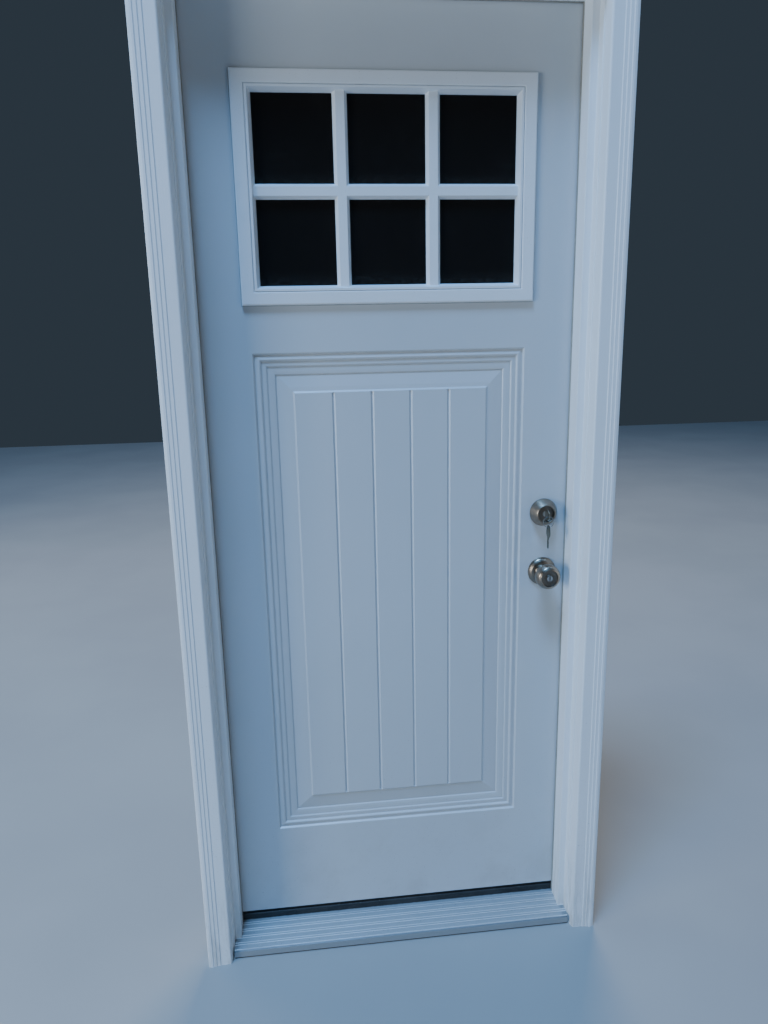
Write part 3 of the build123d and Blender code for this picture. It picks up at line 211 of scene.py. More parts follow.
# ------------------------------------------------------------------ materials
def trim_paint(name, along, raw=None):
    """bright white brushed paint on the frame and the moulding, bare where the wall hides it"""
    m = Mat(name)
    x, y, z = m.xyz()
    slow = m.noise(2.2, 4.0, 0.55)
    col = m.mix(m.span(slow, 0.35, 0.68), (0.925, 0.930, 0.928), (0.890, 0.896, 0.890))
    brush = streaks(m, along, 650.0, 5.0)
    col = m.mix(m.span(brush, 0.35, 0.75, 0.0, 0.10), col, (0.70, 0.70, 0.68))
    # splash dirt near the step, in runs
    low = m.span(z, 0.0, 0.26, 1.0, 0.0)
    runs = m.noise(1.0, 5.0, 0.65, m.scaled(70, 70, 9))
    dirt = m.math("MULTIPLY", low, m.span(runs, 0.40, 0.70), clamp=True)
    col = m.mix(m.math("MULTIPLY", dirt, 0.55), col, (0.42, 0.385, 0.33))
    specks = m.noise(420.0, 2.0, 0.5)
    speck = m.math("MULTIPLY", m.span(specks, 0.70, 0.745), m.span(z, 0.0, 1.3, 0.8, 0.12), clamp=True)
    col = m.mix(speck, col, (0.30, 0.27, 0.23))
    rough = m.lerp(m.span(brush, 0.3, 0.7), 0.34, 0.44)
    rough = m.lerp(dirt, rough, 0.72)
    height = m.math("ADD", m.math("MULTIPLY", brush, 1.0), m.math("MULTIPLY", m.noise(260.0, 3.0, 0.5), 0.5))
    normal = m.bump(height, 0.00022, 0.55)
    if raw:
        # unpainted stock on the faces against the wall
        kind, lim = raw
        if kind == "x":
            mask = m.math("GREATER_THAN", m.math("ABSOLUTE", x), lim)
        elif kind == "y":
            mask = m.math("GREATER_THAN", y, lim)
        else:
            mask = m.math("GREATER_THAN", z, lim)
        grain = m.noise(1.0, 6.0, 0.62, m.scaled(*{"z": (160, 160, 4), "x": (4, 160, 160), "y": (160, 4, 160)}[along]), 0.4)
        wood = m.mix(m.span(grain, 0.32, 0.70), (0.63, 0.46, 0.28), (0.78, 0.63, 0.43))
        # finger joints in the stock: a short zigzag every so often
        along_v = {"z": z, "x": x, "y": y}[along]
        across = {"z": y, "x": y, "y": x}[along]
        zig = m.math("PINGPONG", m.math("MULTIPLY", across, 1.0), 0.0032)
        pos = m.math("MODULO", m.math("ADD", m.math("ADD", along_v, 5.0), m.math("MULTIPLY", zig, 5.0)), 0.41)
        joint_line_and_painted_shade = m.math("LESS_THAN", pos, 0.0012)
        wood = m.mix(m.math("MULTIPLY", joint_line_and_painted_shade, 0.7), wood, (0.30, 0.19, 0.10))
        col = m.mix(mask, col, wood)
        rough = m.lerp(mask, rough, 0.78)
    m.set(color=col, rough=rough, normal=normal, spec=0.5)
    return m.m


def skin_paint(name):
    """the leaf's factory paint: a greyer white than the trim, smooth with a faint orange peel"""
    m = Mat(name)
    x, y, z = m.xyz()
    slow = m.noise(1.6, 4.0, 0.5)
    col = m.mix(m.span(slow, 0.34, 0.70), (0.648, 0.656, 0.660), (0.612, 0.619, 0.620))
    # dust near the bottom and a grey bloom round the knob from hands
    low = m.span(z, 0.05, 0.42, 1.0, 0.0)
    cloud = m.noise(9.0, 6.0, 0.62)
    dust = m.math("MULTIPLY", low, m.span(cloud, 0.42, 0.72), clamp=True)
    col = m.mix(m.math("MULTIPLY", dust, 0.32), col, (0.47, 0.44, 0.39))
    r = m.radius(LOCK_X, (KNOB_Z + BOLT_Z) / 2)
    hand = m.math("MULTIPLY", m.span(r, 0.06, 0.17, 1.0, 0.0), m.span(m.noise(24.0, 5.0, 0.6), 0.38, 0.70), clamp=True)
    col = m.mix(m.math("MULTIPLY", hand, 0.16), col, (0.50, 0.46, 0.40))
    specks = m.noise(360.0, 2.0, 0.45)
    speck = m.math("MULTIPLY", m.span(specks, 0.715, 0.75), m.span(z, 0.05, 0.9, 0.75, 0.06), clamp=True)
    col = m.mix(speck, col, (0.33, 0.30, 0.26))
    # a few pale scuffs
    scuff = m.noise(1.0, 3.0, 0.7, m.scaled(14, 14, 90, (3, 1, 5)), 1.2)
    col = m.mix(m.span(scuff, 0.72, 0.80, 0.0, 0.20), col, (0.86, 0.86, 0.84))
    # painted shade: a thin dark line where the window frame meets the leaf, and darkening in the hollows of the panel's
    # moulding
    w = m.inset(LITE_HW, LITE_Z, LITE_HH)
    joint_line_and_painted_shade = m.math("MULTIPLY", m.line(w, -0.0004, 0.0008, 0.0008), m.span(m.noise(30.0, 4.0, 0.6), 0.25, 0.7, 0.35, 0.9))
    col = m.mix(m.math("MULTIPLY", joint_line_and_painted_shade, 0.75), col, (0.20, 0.19, 0.17))
    # painted shade in the hollows of the panel's moulding
    q = m.inset(PAN_HW, PAN_Z, PAN_HH)
    painted_hollow_shade = m.math("MAXIMUM", m.math("MAXIMUM", m.line(q, 0.0039, 0.0006), m.line(q, 0.0182, 0.0006)), m.math("MAXIMUM", m.line(q, 0.0298, 0.0006), m.line(q, 0.0470, 0.0006)))
    painted_hollow_shade = m.math("MULTIPLY", painted_hollow_shade, m.span(m.noise(40.0, 4.0, 0.6), 0.30, 0.75, 0.25, 0.8))
    col = m.mix(m.math("MULTIPLY", painted_hollow_shade, 0.45), col, (0.33, 0.315, 0.29))
    rough = m.lerp(m.span(cloud, 0.3, 0.7), 0.33, 0.42)
    rough = m.lerp(dust, rough, 0.62)
    peel = m.noise(520.0, 2.0, 0.5)
    wave = m.noise(7.0, 2.0, 0.5)
    n1 = m.bump(wave, 0.0010, 0.35)
    normal = m.bump(peel, 0.00010, 0.45, n1)
    m.set(color=col, rough=rough, normal=normal, spec=0.5)
    return m.m


def lite_plastic(name):
    """moulded window frame: the brightest white, a very fine moulded texture, a little dirt by the glass and painted
    shade in the grille's groove and where the frame meets the leaf
    """
    m = Mat(name)
    x, y, z = m.xyz()
    slow = m.noise(4.0, 3.0, 0.5)
    col = m.mix(m.span(slow, 0.35, 0.7), (0.865, 0.872, 0.876), (0.828, 0.834, 0.835))
    brush = m.noise(1.0, 3.0, 0.6, m.scaled(11, 300, 11))
    col = m.mix(m.span(brush, 0.55, 0.80, 0.0, 0.22), col, (0.70, 0.70, 0.68))
    specks = m.noise(480.0, 2.0, 0.45)
    col = m.mix(m.span(specks, 0.71, 0.75, 0.0, 0.5), col, (0.42, 0.40, 0.36))
    # grime where the border meets the glass
    d = m.math("MINIMUM", m.span(y, 0.0765, 0.0825), m.span(y, 0.0984, 0.1045, 1.0, 0.0))
    grime = m.math("MULTIPLY", d, m.span(m.noise(60.0, 4.0, 0.6), 0.35, 0.75), clamp=True)
    col = m.mix(m.math("MULTIPLY", grime, 0.40), col, (0.40, 0.37, 0.32))
    # painted shade in the groove round the snapped-in grille, and where the frame meets the leaf
    w = m.inset(LITE_HW, LITE_Z, LITE_HH)
    painted_seam_shade = m.math("MULTIPLY", m.line(w, 0.0270, 0.0007, 0.0005), m.span(m.noise(22.0, 4.0, 0.6), 0.28, 0.72, 0.55, 1.0))
    col = m.mix(m.math("MULTIPLY", painted_seam_shade, 0.26), col, (0.17, 0.165, 0.155))
    # painted shade where the frame meets the leaf
    painted_foot_shade = m.math("MULTIPLY", m.span(w, 0.0002, 0.0009, 1.0, 0.0), m.math("MAXIMUM", m.span(y, 0.0690, 0.0712), m.span(y, 0.1160, 0.1180, 1.0, 0.0)))
    col = m.mix(m.math("MULTIPLY", painted_foot_shade, 0.6), col, (0.30, 0.29, 0.27))
    rough = m.lerp(m.span(slow, 0.3, 0.7), 0.36, 0.46)
    normal = m.bump(m.noise(900.0, 2.0, 0.5), 0.00006, 0.5)
    m.set(color=col, rough=rough, normal=normal, spec=0.5)
    return m.m


def metal(name, axis, dark=0.0, tint=(0.440, 0.340, 0.250), base_rough=0.31, patina=True):
    """satin nickel, turned: brush lines run round the lock's axis, and the hollows are darker"""
    m = Mat(name)
    x, y, z = m.xyz()
    if axis is not None:
        r = m.radius(*axis)
        ang = m.math("ARCTAN2", m.math("SUBTRACT", z, axis[1]), m.math("SUBTRACT", x, axis[0]))
        v = m.combine(m.math("MULTIPLY", r, 3200.0), m.math("MULTIPLY", y, 3200.0), m.math("MULTIPLY", ang, 0.9))
        lines = m.noise(1.0, 2.0, 0.6, v)
    else:
        lines = streaks(m, "z", 2600.0, 30.0)
    cloud = m.noise(95.0, 4.0, 0.6)
    col = m.mix(m.span(cloud, 0.30, 0.72), tint, tuple(c * 0.80 for c in tint))
    col = m.mix(m.span(lines, 0.35, 0.70, 0.0, 0.30), col, tuple(c * 0.55 for c in tint))
    if patina:
        tarnish = m.noise(38.0, 5.0, 0.65)
        col = m.mix(m.span(tarnish, 0.50, 0.76, 0.0, 0.50), col, (0.150, 0.136, 0.112))
    if dark:
        col = m.mix(dark, col, (0.050, 0.046, 0.040))
    rough = m.lerp(m.span(lines, 0.3, 0.7), base_rough - 0.05, base_rough + 0.10)
    rough = m.math("ADD", rough, m.span(cloud, 0.4, 0.75, 0.0, 0.10))
    normal = m.bump(lines, 0.00003, 0.6)
    m.set(color=col, rough=rough, metal=1.0, normal=normal)
    return m


def collar_metal(name):
    """the deadbolt's housing: bright shoulder, with painted shade darkening the dish round the plug and the rim at the
    wall
    """
    m = metal(name, (LOCK_X, BOLT_Z))
    r = m.radius(LOCK_X, BOLT_Z)
    _, y, _ = m.xyz()
    src = m.b.inputs["Base Color"].links[0].from_socket
    # painted shade in the dish round the plug
    dish = m.math("MULTIPLY", m.math("LESS_THAN", r, 0.0184), m.math("LESS_THAN", y, FACE_Y - 0.004))
    col = m.mix(m.math("MULTIPLY", dish, 0.55), src, (0.150, 0.134, 0.112))
    # painted shade on the rim where the housing meets the leaf
    rim = m.span(y, FACE_Y - 0.0042, FACE_Y - 0.0004)
    col = m.mix(m.math("MULTIPLY", rim, 0.65), col, (0.085, 0.078, 0.066))
    m.set(color=col)
    return m.m


def knob_metal(name, face, sign):
    """the knob: bright shoulders, with painted shade darkening the dish and the neck"""
    m = metal(name, (LOCK_X, KNOB_Z), base_rough=0.24)
    r = m.radius(LOCK_X, KNOB_Z)
    _, y, _ = m.xyz()
    out = m.math("MULTIPLY", m.math("SUBTRACT", y, face), sign)
    src = m.b.inputs["Base Color"].links[0].from_socket
    # painted shade in the dish of the knob's face
    dish = m.math("MULTIPLY", m.math("LESS_THAN", r, 0.0190), m.math("GREATER_THAN", out, 0.0560))
    col = m.mix(m.math("MULTIPLY", dish, 0.55 if sign < 0 else 0.25), src, (0.150, 0.134, 0.112))
    # painted shade on the neck, near the rose
    neck = m.span(out, 0.012, 0.026, 1.0, 0.0)
    col = m.mix(m.math("MULTIPLY", neck, 0.78), col, (0.060, 0.055, 0.048))
    m.set(color=col)
    return m.m


def rose_metal(name, face, sign):
    m = metal(name, (LOCK_X, KNOB_Z), base_rough=0.27)
    r = m.radius(LOCK_X, KNOB_Z)
    _, y, _ = m.xyz()
    src = m.b.inputs["Base Color"].links[0].from_socket
    # painted shade on the rose round and under the knob
    inner = m.span(r, 0.0145, 0.0300, 1.0, 0.0)
    col = m.mix(m.math("MULTIPLY", inner, 0.60), src, (0.11, 0.10, 0.085))
    m.set(color=col)
    return m.m


def plug_metal(name, cz):
    """cylinder plug: a bright face from wear, with scratches round the keyway, and painted shade in a ring at its edge
    and along the keyway
    """
    m = metal(name, (LOCK_X, cz), tint=(0.690, 0.680, 0.660), base_rough=0.44)
    r = m.radius(LOCK_X, cz)
    src = m.b.inputs["Base Color"].links[0].from_socket
    # painted shade in a thin ring at the plug's edge
    edge = m.span(r, 0.0056, 0.0066)
    col = m.mix(m.math("MULTIPLY", edge, 0.45), src, (0.10, 0.09, 0.075))
    x, y, z = m.xyz()
    # painted shade along the keyway
    keyway_painted_shade = m.math("MULTIPLY", m.span(m.math("ABSOLUTE", m.math("SUBTRACT", x, LOCK_X)), 0.0010, 0.0019, 1.0, 0.0), 1.0)
    col = m.mix(m.math("MULTIPLY", keyway_painted_shade, 0.40), col, (0.06, 0.05, 0.04))
    m.set(color=col)
    return m.m


def brushed_steel(name, along="z", tint=(0.60, 0.59, 0.57), rough=0.32):
    m = Mat(name)
    lines = streaks(m, along, 1800.0, 25.0)
    cloud = m.noise(60.0, 4.0, 0.6)
    col = m.mix(m.span(cloud, 0.3, 0.7), tint, tuple(c * 0.82 for c in tint))
    col = m.mix(m.span(m.noise(150.0, 5.0, 0.7), 0.62, 0.78, 0.0, 0.5), col, (0.30, 0.26, 0.20))
    r = m.lerp(m.span(lines, 0.3, 0.7), rough - 0.06, rough + 0.10)
    m.set(color=col, rough=r, metal=1.0, normal=m.bump(lines, 0.00004, 0.5))
    return m.m


def key_brass(name, tint=(0.500, 0.440, 0.330), wear=(0.720, 0.660, 0.540)):
    """a used key: dull brass gone brown-green, brighter along its edges and where it rubs"""
    m = Mat(name)
    x, y, z = m.xyz()
    fine = m.noise(1.0, 3.0, 0.6, m.scaled(3000, 500, 500))
    cloud = m.noise(260.0, 5.0, 0.65)
    col = m.mix(m.span(cloud, 0.34, 0.66), tint, tuple(c * 0.62 for c in tint))
    col = m.mix(m.span(m.noise(600.0, 3.0, 0.6), 0.56, 0.70, 0.0, 0.6), col, wear)
    rub = m.span(m.math("ABSOLUTE", m.math("SUBTRACT", x, LOCK_X)), 0.00085, 0.0010)
    col = m.mix(m.math("MULTIPLY", rub, m.span(cloud, 0.45, 0.70, 0.0, 0.5)), col, wear)
    rough = m.lerp(m.span(cloud, 0.3, 0.7), 0.30, 0.48)
    m.set(color=col, rough=rough, metal=1.0, normal=m.bump(fine, 0.00003, 0.6))
    return m.m


def sill_aluminium(name):
    """mill-finish extrusion: fine drawing lines, rib tops bright from wear and a painted highlight, a thin film between
    them and a darker line along the leaf
    """
    m = Mat(name)
    x, y, z = m.xyz()
    draw = m.noise(1.0, 3.0, 0.62, m.scaled(3.0, 1400, 1400))
    wide = m.noise(1.0, 4.0, 0.6, m.scaled(1.6, 160, 160))
    col = m.mix(m.span(draw, 0.3, 0.7), (0.520, 0.528, 0.538), (0.450, 0.458, 0.466))
    col = m.mix(m.span(wide, 0.42, 0.72, 0.0, 0.40), col, (0.520, 0.524, 0.528))
    # distance from the nearest rib's middle
    ph = m.math("MODULO", m.math("ADD", y, 0.0728 + 0.0091 - 0.0060), 0.0182)
    off = m.math("ABSOLUTE", m.math("SUBTRACT", m.math("ABSOLUTE", m.math("SUBTRACT", ph, 0.0091)), 0.00275))
    valley = m.span(off, 0.0012, 0.0024)
    grit = m.noise(1.0, 6.0, 0.72, m.scaled(28, 260, 260))
    film = m.math("MULTIPLY", valley, m.span(grit, 0.38, 0.70, 0.18, 0.60), clamp=True)
    col = m.mix(film, col, (0.330, 0.320, 0.300))
    # darker in patches along the rail and at the ends by the jambs
    back = m.span(y, 0.0700, 0.0738)
    ends = m.math("MULTIPLY", m.span(m.math("ABSOLUTE", x), 0.385, 0.407), 0.7)
    rail_and_end_zone = m.math("MAXIMUM", back, ends)
    rail_and_end_darkening = m.math("MULTIPLY", rail_and_end_zone, m.span(m.noise(70.0, 6.0, 0.7), 0.30, 0.60), clamp=True)
    col = m.mix(m.math("MULTIPLY", rail_and_end_darkening, 0.85), col, (0.085, 0.078, 0.062))
    specks = m.noise(300.0, 3.0, 0.5)
    spot = m.span(specks, 0.680, 0.71)
    col = m.mix(m.math("MULTIPLY", spot, 0.75), col, (0.130, 0.105, 0.080))
    # rib tops near white: wear plus a painted highlight
    rib_wear_and_highlight = m.span(off, 0.0008, 0.0014, 1.0, 0.0)
    col = m.mix(m.math("MULTIPLY", rib_wear_and_highlight, 0.85), col, (0.985, 0.988, 0.990))
    # the nose's front is duller and painted darker as shade, with a painted shadow line under its top edge
    nose_painted_shade = m.span(y, -0.0138, -0.0128, 1.0, 0.0)
    col = m.mix(m.math("MULTIPLY", nose_painted_shade, 0.65), col, (0.240, 0.240, 0.240))
    lip_painted_shadow = m.math("MULTIPLY", m.line(y, -0.0126, 0.0004, 0.0004), m.span(z, 0.0150, 0.0170))
    col = m.mix(m.math("MULTIPLY", lip_painted_shadow, 0.8), col, (0.06, 0.06, 0.058))
    cover = m.math("MAXIMUM", m.math("MAXIMUM", film, rail_and_end_darkening), m.math("MULTIPLY", nose_painted_shade, 0.5))
    metalness = m.math("SUBTRACT", 1.0, m.math("MULTIPLY", cover, 0.75), clamp=True)
    rough = m.lerp(m.span(draw, 0.3, 0.7), 0.36, 0.50)
    rough = m.lerp(cover, rough, 0.80)
    height = m.math("ADD", draw, m.math("MULTIPLY", m.noise(220.0, 4.0, 0.6), m.math("MULTIPLY", film, 3.0)))
    m.set(color=col, rough=rough, metal=m.math("MULTIPLY", metalness, 0.85), normal=m.bump(height, 0.00006, 0.6))
    return m.m


def rubber(name, color, rough=0.62, along="x"):
    m = Mat(name)
    slow = m.noise(14.0, 5.0, 0.6)
    col = m.mix(m.span(slow, 0.35, 0.70), color, tuple(min(1.0, c * 1.6 + 0.012) for c in color))
    dust = m.noise(180.0, 4.0, 0.65)
    col = m.mix(m.span(dust, 0.56, 0.74, 0.0, 0.28), col, (0.30, 0.275, 0.24))
    r = m.lerp(m.span(dust, 0.4, 0.7), rough, min(1.0, rough + 0.18))
    m.set(color=col, rough=r, normal=m.bump(m.noise(800.0, 3.0, 0.6), 0.00006, 0.6))
    return m.m


def seal(name):
    """foam weatherstrip in its thin skin, taupe"""
    m = Mat(name)
    slow = m.noise(11.0, 4.0, 0.6)
    col = m.mix(m.span(slow, 0.35, 0.7), (0.330, 0.300, 0.250), (0.250, 0.225, 0.185))
    wrinkle = m.noise(1.0, 3.0, 0.6, m.scaled(320, 320, 90))
    col = m.mix(m.span(wrinkle, 0.5, 0.8, 0.0, 0.4), col, (0.160, 0.140, 0.110))
    m.set(color=col, rough=m.lerp(m.span(wrinkle, 0.3, 0.7), 0.55, 0.75), normal=m.bump(wrinkle, 0.0003, 0.5), sheen=0.2)
    return m.m


def wood(name, along, a=(0.70, 0.53, 0.33), b=(0.52, 0.36, 0.20), painted=None):
    """softwood with its grain along one axis; painted gives a colour for the faces that show in the doorway"""
    m = Mat(name)
    x, y, z = m.xyz()
    s = {"x": (3.2, 95, 95), "z": (95, 95, 3.2)}[along]
    rings = m.noise(1.0, 5.0, 0.55, m.scaled(*s), 0.8)
    fibre = m.noise(1.0, 3.0, 0.6, m.scaled(*{"x": (30, 1500, 1500), "z": (1500, 1500, 30)}[along]))
    col = m.mix(m.span(rings, 0.35, 0.66), a, b)
    col = m.mix(m.span(fibre, 0.4, 0.8, 0.0, 0.35), col, tuple(c * 0.55 for c in b))
    rough = m.lerp(m.span(fibre, 0.3, 0.7), 0.62, 0.80)
    h = m.math("ADD", fibre, rings)
    if painted:
        thin = m.span(fibre, 0.60, 0.86, 0.0, 0.25)
        p = m.mix(m.span(m.noise(3.0, 3.0, 0.5), 0.35, 0.7), painted, tuple(c * 0.93 for c in painted))
        p = m.mix(thin, p, tuple(c * 0.80 for c in painted))
        # grime on the edge where the seal and hands touch it
        grime = m.math("MULTIPLY", m.span(m.noise(30.0, 5.0, 0.6), 0.45, 0.75), 0.28)
        col = m.mix(grime, p, (0.42, 0.38, 0.32))
        rough = m.lerp(m.span(fibre, 0.3, 0.7), 0.40, 0.52)
    m.set(color=col, rough=rough, normal=m.bump(h, 0.00012, 0.5))
    return m.m


def foam(name):
    m = Mat(name)
    cells = m.voronoi(420.0)
    col = m.mix(m.span(m.noise(20.0, 4.0, 0.6), 0.35, 0.7), (0.82, 0.74, 0.50), (0.72, 0.62, 0.38))
    col = m.mix(m.span(cells, 0.1, 0.6, 0.35, 0.0), col, (0.45, 0.36, 0.20))
    m.set(color=col, rough=m.span(cells, 0.0, 0.8, 0.95, 0.80), normal=m.bump(cells, 0.0006, 0.6))
    return m.m


def composite(name):
    """sill core: pressed wood-plastic composite, brown with darker flecks"""
    m = Mat(name)
    fleck = m.noise(1.0, 5.0, 0.7, m.scaled(120, 420, 420))
    col = m.mix(m.span(fleck, 0.40, 0.64), (0.46, 0.36, 0.25), (0.27, 0.20, 0.13))
    col = m.mix(m.span(m.noise(500.0, 2.0, 0.5), 0.62, 0.72, 0.0, 0.6), col, (0.70, 0.60, 0.44))
    # painted shade: the front edge is painted near black, as shadow under the nose
    y = m.xyz()[1]
    front_painted_shade = m.math("MULTIPLY", m.span(y, -0.0105, -0.0060, 1.0, 0.0), m.span(m.noise(60.0, 4.0, 0.6), 0.2, 0.6, 0.80, 1.0))
    col = m.mix(front_painted_shade, col, (0.055, 0.048, 0.040))
    m.set(color=col, rough=m.span(fleck, 0.3, 0.7, 0.70, 0.86), normal=m.bump(fleck, 0.0003, 0.5))
    return m.m


def spacer(name):
    """insulating glass spacer: bright folded strip with a row of small holes"""
    m = Mat(name)
    x, y, z = m.xyz()
    along = m.math("ADD", x, z)
    hole = m.math("PINGPONG", along, 0.0016)
    dots = m.math("MULTIPLY", m.span(hole, 0.0010, 0.0014), m.span(m.math("ABSOLUTE", m.math("SUBTRACT", y, 0.09045)), 0.0006, 0.0010, 1.0, 0.0))
    col = m.mix(dots, m.mix(m.span(m.noise(90.0, 3.0, 0.5), 0.3, 0.7), (0.74, 0.75, 0.76), (0.62, 0.63, 0.64)), (0.08, 0.08, 0.08))
    m.set(color=col, rough=m.lerp(dots, 0.30, 0.8), metal=1.0, normal=m.bump(streaks(m, "x", 1500.0, 10.0), 0.00003, 0.4))
    return m.m


def pane(name):
    """window glass: near black and partly opaque, painted shade standing for the dark room behind it; glossy, with dust
    and a wiped film
    """
    m = Mat(name)
    x, y, z = m.xyz()
    film = m.noise(1.0, 5.0, 0.62, m.scaled(9, 9, 5), 1.1)
    wipe = m.noise(1.0, 3.0, 0.6, m.scaled(26, 26, 150, (2, 0, 1)), 2.0)
    smear = m.math("MULTIPLY", m.span(film, 0.46, 0.74), m.span(wipe, 0.40, 0.74), clamp=True)
    dust = m.span(m.noise(900.0, 2.0, 0.5), 0.70, 0.76)
    # dust gathers low in each pane
    low = m.math("MAXIMUM", m.span(z, 1.5410, 1.5720, 1.0, 0.0), m.math("MULTIPLY", m.span(z, 1.7368, 1.7640, 1.0, 0.0), m.math("GREATER_THAN", z, 1.7221)))
    edge = m.math("MULTIPLY", low, m.span(m.noise(120.0, 5.0, 0.65), 0.36, 0.74, 0.0, 0.5), clamp=True)
    haze = m.math("MAXIMUM", m.math("MULTIPLY", smear, 0.035), m.math("MAXIMUM", m.math("MULTIPLY", dust, 0.14), m.math("MULTIPLY", edge, 0.16)))
    # near-black colour: painted shade for the dark room behind the glass
    col = m.mix(haze, (0.0115, 0.0095, 0.0085), (0.34, 0.33, 0.31))
    rough = m.math("ADD", 0.012, m.math("MULTIPLY", haze, 0.5))
    alpha = m.math("ADD", 0.84, m.math("MULTIPLY", haze, 0.16))
    ripple = m.noise(5.0, 1.0, 0.4)
    m.set(color=col, rough=rough, alpha=alpha, ior=1.52, normal=m.bump(ripple, 0.0009, 0.25))
    m.m.surface_render_method = "BLENDED"
    return m.m


TRIM_Z = trim_paint("trim_paint_upright", "z", ("x", 0.42535))
TRIM_X = trim_paint("trim_paint_head", "x", ("z", 2.09910))
MOULD_Z = trim_paint("moulding_paint_upright", "z", ("y", -0.00010))
MOULD_X = trim_paint("moulding_paint_head", "x", ("y", -0.00010))
SKIN = skin_paint("leaf_paint")
LITE = lite_plastic("window_frame_plastic")
SILL = sill_aluminium("sill_aluminium")
RAIL = rubber("sill_rail_black", (0.020, 0.019, 0.018), 0.45)
VINYL = rubber("sweep_vinyl", (0.013, 0.013, 0.013), 0.50)
SEAL = seal("weatherstrip_foam")
PAD = rubber("corner_pad", (0.10, 0.095, 0.085), 0.9)
STILE = wood("stile_edge_paint", "z", painted=(0.70, 0.69, 0.655))
RAILWOOD = wood("rail_wood", "x")
BLOCK = wood("lock_block_wood", "z")
CORE = foam("core_foam")
SUB = composite("sill_core")
SPACER = spacer("glass_spacer_bar")
GLASS = pane("window_glass")
HINGE = brushed_steel("hinge_steel", "z", (0.585, 0.565, 0.530), 0.34)
ZINC = brushed_steel("zinc_steel", "z", (0.62, 0.62, 0.61), 0.36)
PLATE = metal("faceplate_nickel", None, tint=(0.480, 0.460, 0.425), base_rough=0.34).m
COLLAR = collar_metal("deadbolt_nickel")
INPLATE = metal("inner_plate_nickel", (LOCK_X, BOLT_Z)).m
THUMB = metal("thumbturn_nickel", (LOCK_X, BOLT_Z), base_rough=0.28).m
ROSE_O = rose_metal("rose_nickel_outside", FACE_Y, -1.0)
ROSE_I = rose_metal("rose_nickel_inside", ROOM_Y, 1.0)
KNOB_O = knob_metal("knob_nickel_outside", FACE_Y, -1.0)
KNOB_I = knob_metal("knob_nickel_inside", ROOM_Y, 1.0)
PLUG_K = plug_metal("knob_plug_face", KNOB_Z)
PLUG_D = plug_metal("deadbolt_plug_face", BOLT_Z)
KEY = key_brass("door_key_brass")
KEY2 = key_brass("spare_key_brass", (0.245, 0.232, 0.170), (0.46, 0.44, 0.35))
RINGM = metal("key_ring_steel", (LOCK_X, RING_Z), tint=(0.46, 0.45, 0.43), base_rough=0.26).m
BOLT = metal("bolt_nickel", None, tint=(0.50, 0.485, 0.455), base_rough=0.28).m

finish = {
    "hinge_jamb": TRIM_Z,
    "strike_jamb": TRIM_Z,
    "head_jamb": TRIM_X,
    "brickmould_left": MOULD_Z,
    "brickmould_right": MOULD_Z,
    "brickmould_head": MOULD_X,
    "sill_substrate": SUB,
    "sill_deck": SILL,
    "sill_cap": RAIL,
    "sill_cap_screws": ZINC,
    "weatherstrip_hinge_side": SEAL,
    "weatherstrip_strike_side": SEAL,
    "weatherstrip_head": SEAL,
    "corner_seal_pads": PAD,
    "latch_strike_plate": PLATE,
    "deadbolt_strike_plate": PLATE,
    "strike_screws": PLATE,
    "frame_hinge_leaves": HINGE,
    "hinge_pins": HINGE,
    "frame_hinge_screws": HINGE,
    "exterior_skin": SKIN,
    "interior_skin": SKIN,
    "hinge_stile": STILE,
    "lock_stile": STILE,
    "top_rail": RAILWOOD,
    "bottom_rail": RAILWOOD,
    "foam_core": CORE,
    "lock_block": BLOCK,
    "exterior_lite_frame": LITE,
    "exterior_grille": LITE,
    "interior_lite_frame": LITE,
    "interior_grille": LITE,
    "glass_outer": GLASS,
    "glass_inner": GLASS,
    "glass_spacer": SPACER,
    "lite_frame_screws": ZINC,
    "lite_screw_plugs": LITE,
    "door_sweep": VINYL,
    "door_hinge_leaves": HINGE,
    "door_hinge_screws": HINGE,
    "deadbolt_collar": COLLAR,
    "deadbolt_inner_plate": INPLATE,
    "lock_mounting_screws": ZINC,
    "deadbolt_case": PLATE,
    "exterior_knob_rose": ROSE_O,
    "interior_knob_rose": ROSE_I,
    "latch_case": PLATE,
    "faceplate_screws": PLATE,
    "exterior_knob": KNOB_O,
    "interior_knob": KNOB_I,
    "knob_spindle": ZINC,
    "knob_plug": PLUG_K,
    "knob_lock_button": KNOB_I,
    "latch_bolt": BOLT,
    "deadbolt_plug": PLUG_D,
    "thumbturn": THUMB,
    "deadbolt_bolt": BOLT,
    "door_key": KEY,
    "key_ring": RINGM,
    "spare_key": KEY2,
}
for name, material in finish.items():
    o = nodes[name]
    o.data.materials.clear()
    o.data.materials.append(material)


# ------------------------------------------------------------------ pieces made here
def mesh_object(name, verts, faces, material, smooth=True):
    me = bpy.data.meshes.new(name)
    me.from_pydata([tuple(v) for v in verts], [], faces)
    me.validate()
    bm = bmesh.new()
    bm.from_mesh(me)
    bmesh.ops.recalc_face_normals(bm, faces=bm.faces)
    bm.to_mesh(me)
    bm.free()
    for p in me.polygons:
        p.use_smooth = smooth
    me.materials.append(material)
    o = bpy.data.objects.new(name, me)
    bpy.context.scene.collection.objects.link(o)
    return o


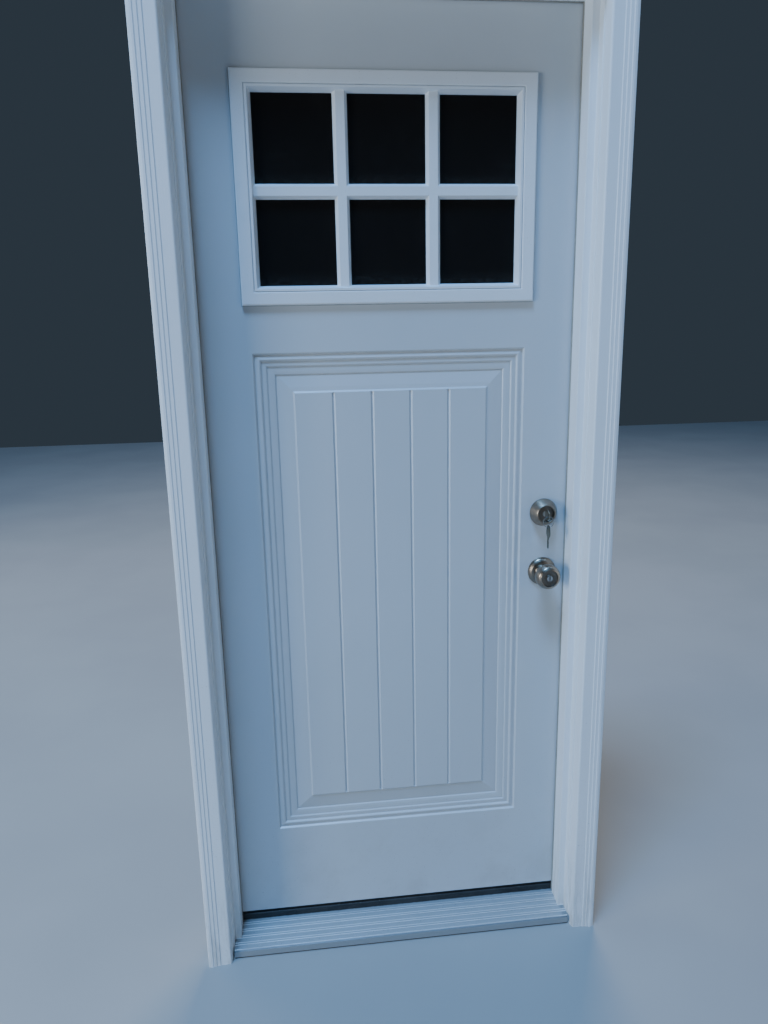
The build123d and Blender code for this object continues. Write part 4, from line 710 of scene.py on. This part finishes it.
def tube(points, radii, sides=12, up=Vector((0, 1, 0))):
    """a closed tube along points; radii are (across, along up) half sizes at every point"""
    verts, faces = [], []
    n = len(points)
    for i, p in enumerate(points):
        t = (points[min(i + 1, n - 1)] - points[max(i - 1, 0)]).normalized()
        u = (up - t * up.dot(t)).normalized()
        s = t.cross(u)
        for k in range(sides):
            a = 2 * math.pi * k / sides
            verts.append(p + s * (math.cos(a) * radii[i][0]) + u * (math.sin(a) * radii[i][1]))
    for i in range(n - 1):
        for k in range(sides):
            k2 = (k + 1) % sides
            faces.append((i * sides + k, i * sides + k2, (i + 1) * sides + k2, (i + 1) * sides + k))
    faces.append(tuple(range(sides))[::-1])
    faces.append(tuple((n - 1) * sides + k for k in range(sides)))
    return verts, faces


# split ring: two turns of flat wire side by side, crossing over once
turns, steps = 1.94, 220
pts, rad = [], []
for i in range(steps + 1):
    t = turns * i / steps
    a = math.radians(-118) + t * 2 * math.pi
    k = min(1.0, max(0.0, (t - 0.80) / 0.34))
    side = -0.00042 + 0.00084 * (k * k * (3 - 2 * k))
    e = min(1.0, min(i, steps - i) / 5.0)
    pts.append(Vector((LOCK_X + RING_R * math.cos(a), RING_Y + side, RING_Z + RING_R * math.sin(a))))
    rad.append((0.00072 * (0.35 + 0.65 * e), 0.00040 * (0.5 + 0.5 * e)))
v, f = tube(pts, rad, 14)
ring = mesh_object("split_ring", v, f, RINGM)
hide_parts("key_ring")
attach(ring, "key_ring")

# ------------------------------------------------------------------ floor, lights, camera
me = bpy.data.meshes.new("floor")
s = 9.0
me.from_pydata([(-s, -s, 0), (s, -s, 0), (s, s, 0), (-s, s, 0)], [], [(0, 1, 2, 3)])
floor = bpy.data.objects.new("floor", me)
bpy.context.scene.collection.objects.link(floor)
fm = Mat("floor_pale")
fcol = fm.mix(fm.span(fm.noise(1.5, 3.0, 0.5), 0.3, 0.7), (0.40, 0.375, 0.345), (0.37, 0.345, 0.32))
fm.set(color=fcol, rough=0.85)
me.materials.append(fm.m)

world = bpy.data.worlds.new("studio")
bpy.context.scene.world = world
world.use_nodes = True
wt = world.node_tree
wt.nodes.clear()
wo = wt.nodes.new("ShaderNodeOutputWorld")
wb = wt.nodes.new("ShaderNodeBackground")
wb.inputs["Color"].default_value = (0.52, 0.74, 1.0, 1.0)
wb.inputs["Strength"].default_value = 0.055
wt.links.new(wb.outputs[0], wo.inputs[0])


def area(name, loc, target, size, power, color, size_y=None):
    d = bpy.data.lights.new(name, "AREA")
    d.energy = power
    d.color = color
    d.size = size
    if size_y:
        d.shape = "RECTANGLE"
        d.size_y = size_y
    o = bpy.data.objects.new(name, d)
    bpy.context.scene.collection.objects.link(o)
    o.location = loc
    o.rotation_euler = (Vector(target) - Vector(loc)).to_track_quat("-Z", "Y").to_euler()
    return o


area("sky", (-1.9, -3.3, 10.6), (0.0, 0.0, 1.0), 2.8, 1400.0, (0.19, 0.48, 1.0), 2.4)
area("key", (-3.8, -2.0, 1.4), (0.0, 0.0, 0.9), 1.4, 92.0, (0.76, 0.88, 1.0), 1.7)
area("fill", (3.9, -3.8, 1.6), (0.0, 0.0, 0.9), 2.2, 18.0, (1.0, 0.93, 0.82), 2.2)
area("back", (1.4, 4.2, 6.4), (0.0, 0.1, 1.1), 2.4, 210.0, (1.0, 0.98, 0.95), 2.4)
area("back_left", (-4.0, 3.0, 2.2), (0.0, 0.1, 1.0), 2.0, 35.0, (0.90, 0.95, 1.0), 2.0)

cd = bpy.data.cameras.new("camera")
cd.lens = 27.035
cd.sensor_width = 36.0
cd.clip_start = 0.05
cam = bpy.data.objects.new("camera", cd)
bpy.context.scene.collection.objects.link(cam)
cols = [(0.992996, 0.046096, -0.108781), (-0.116539, 0.230875, -0.965979), (-0.019413, 0.971891, 0.234630)]
R = Matrix(cols).to_4x4()
R.translation = Vector((-0.20728, -1.57706, 1.45646))
cam.matrix_world = R
bpy.context.scene.camera = cam
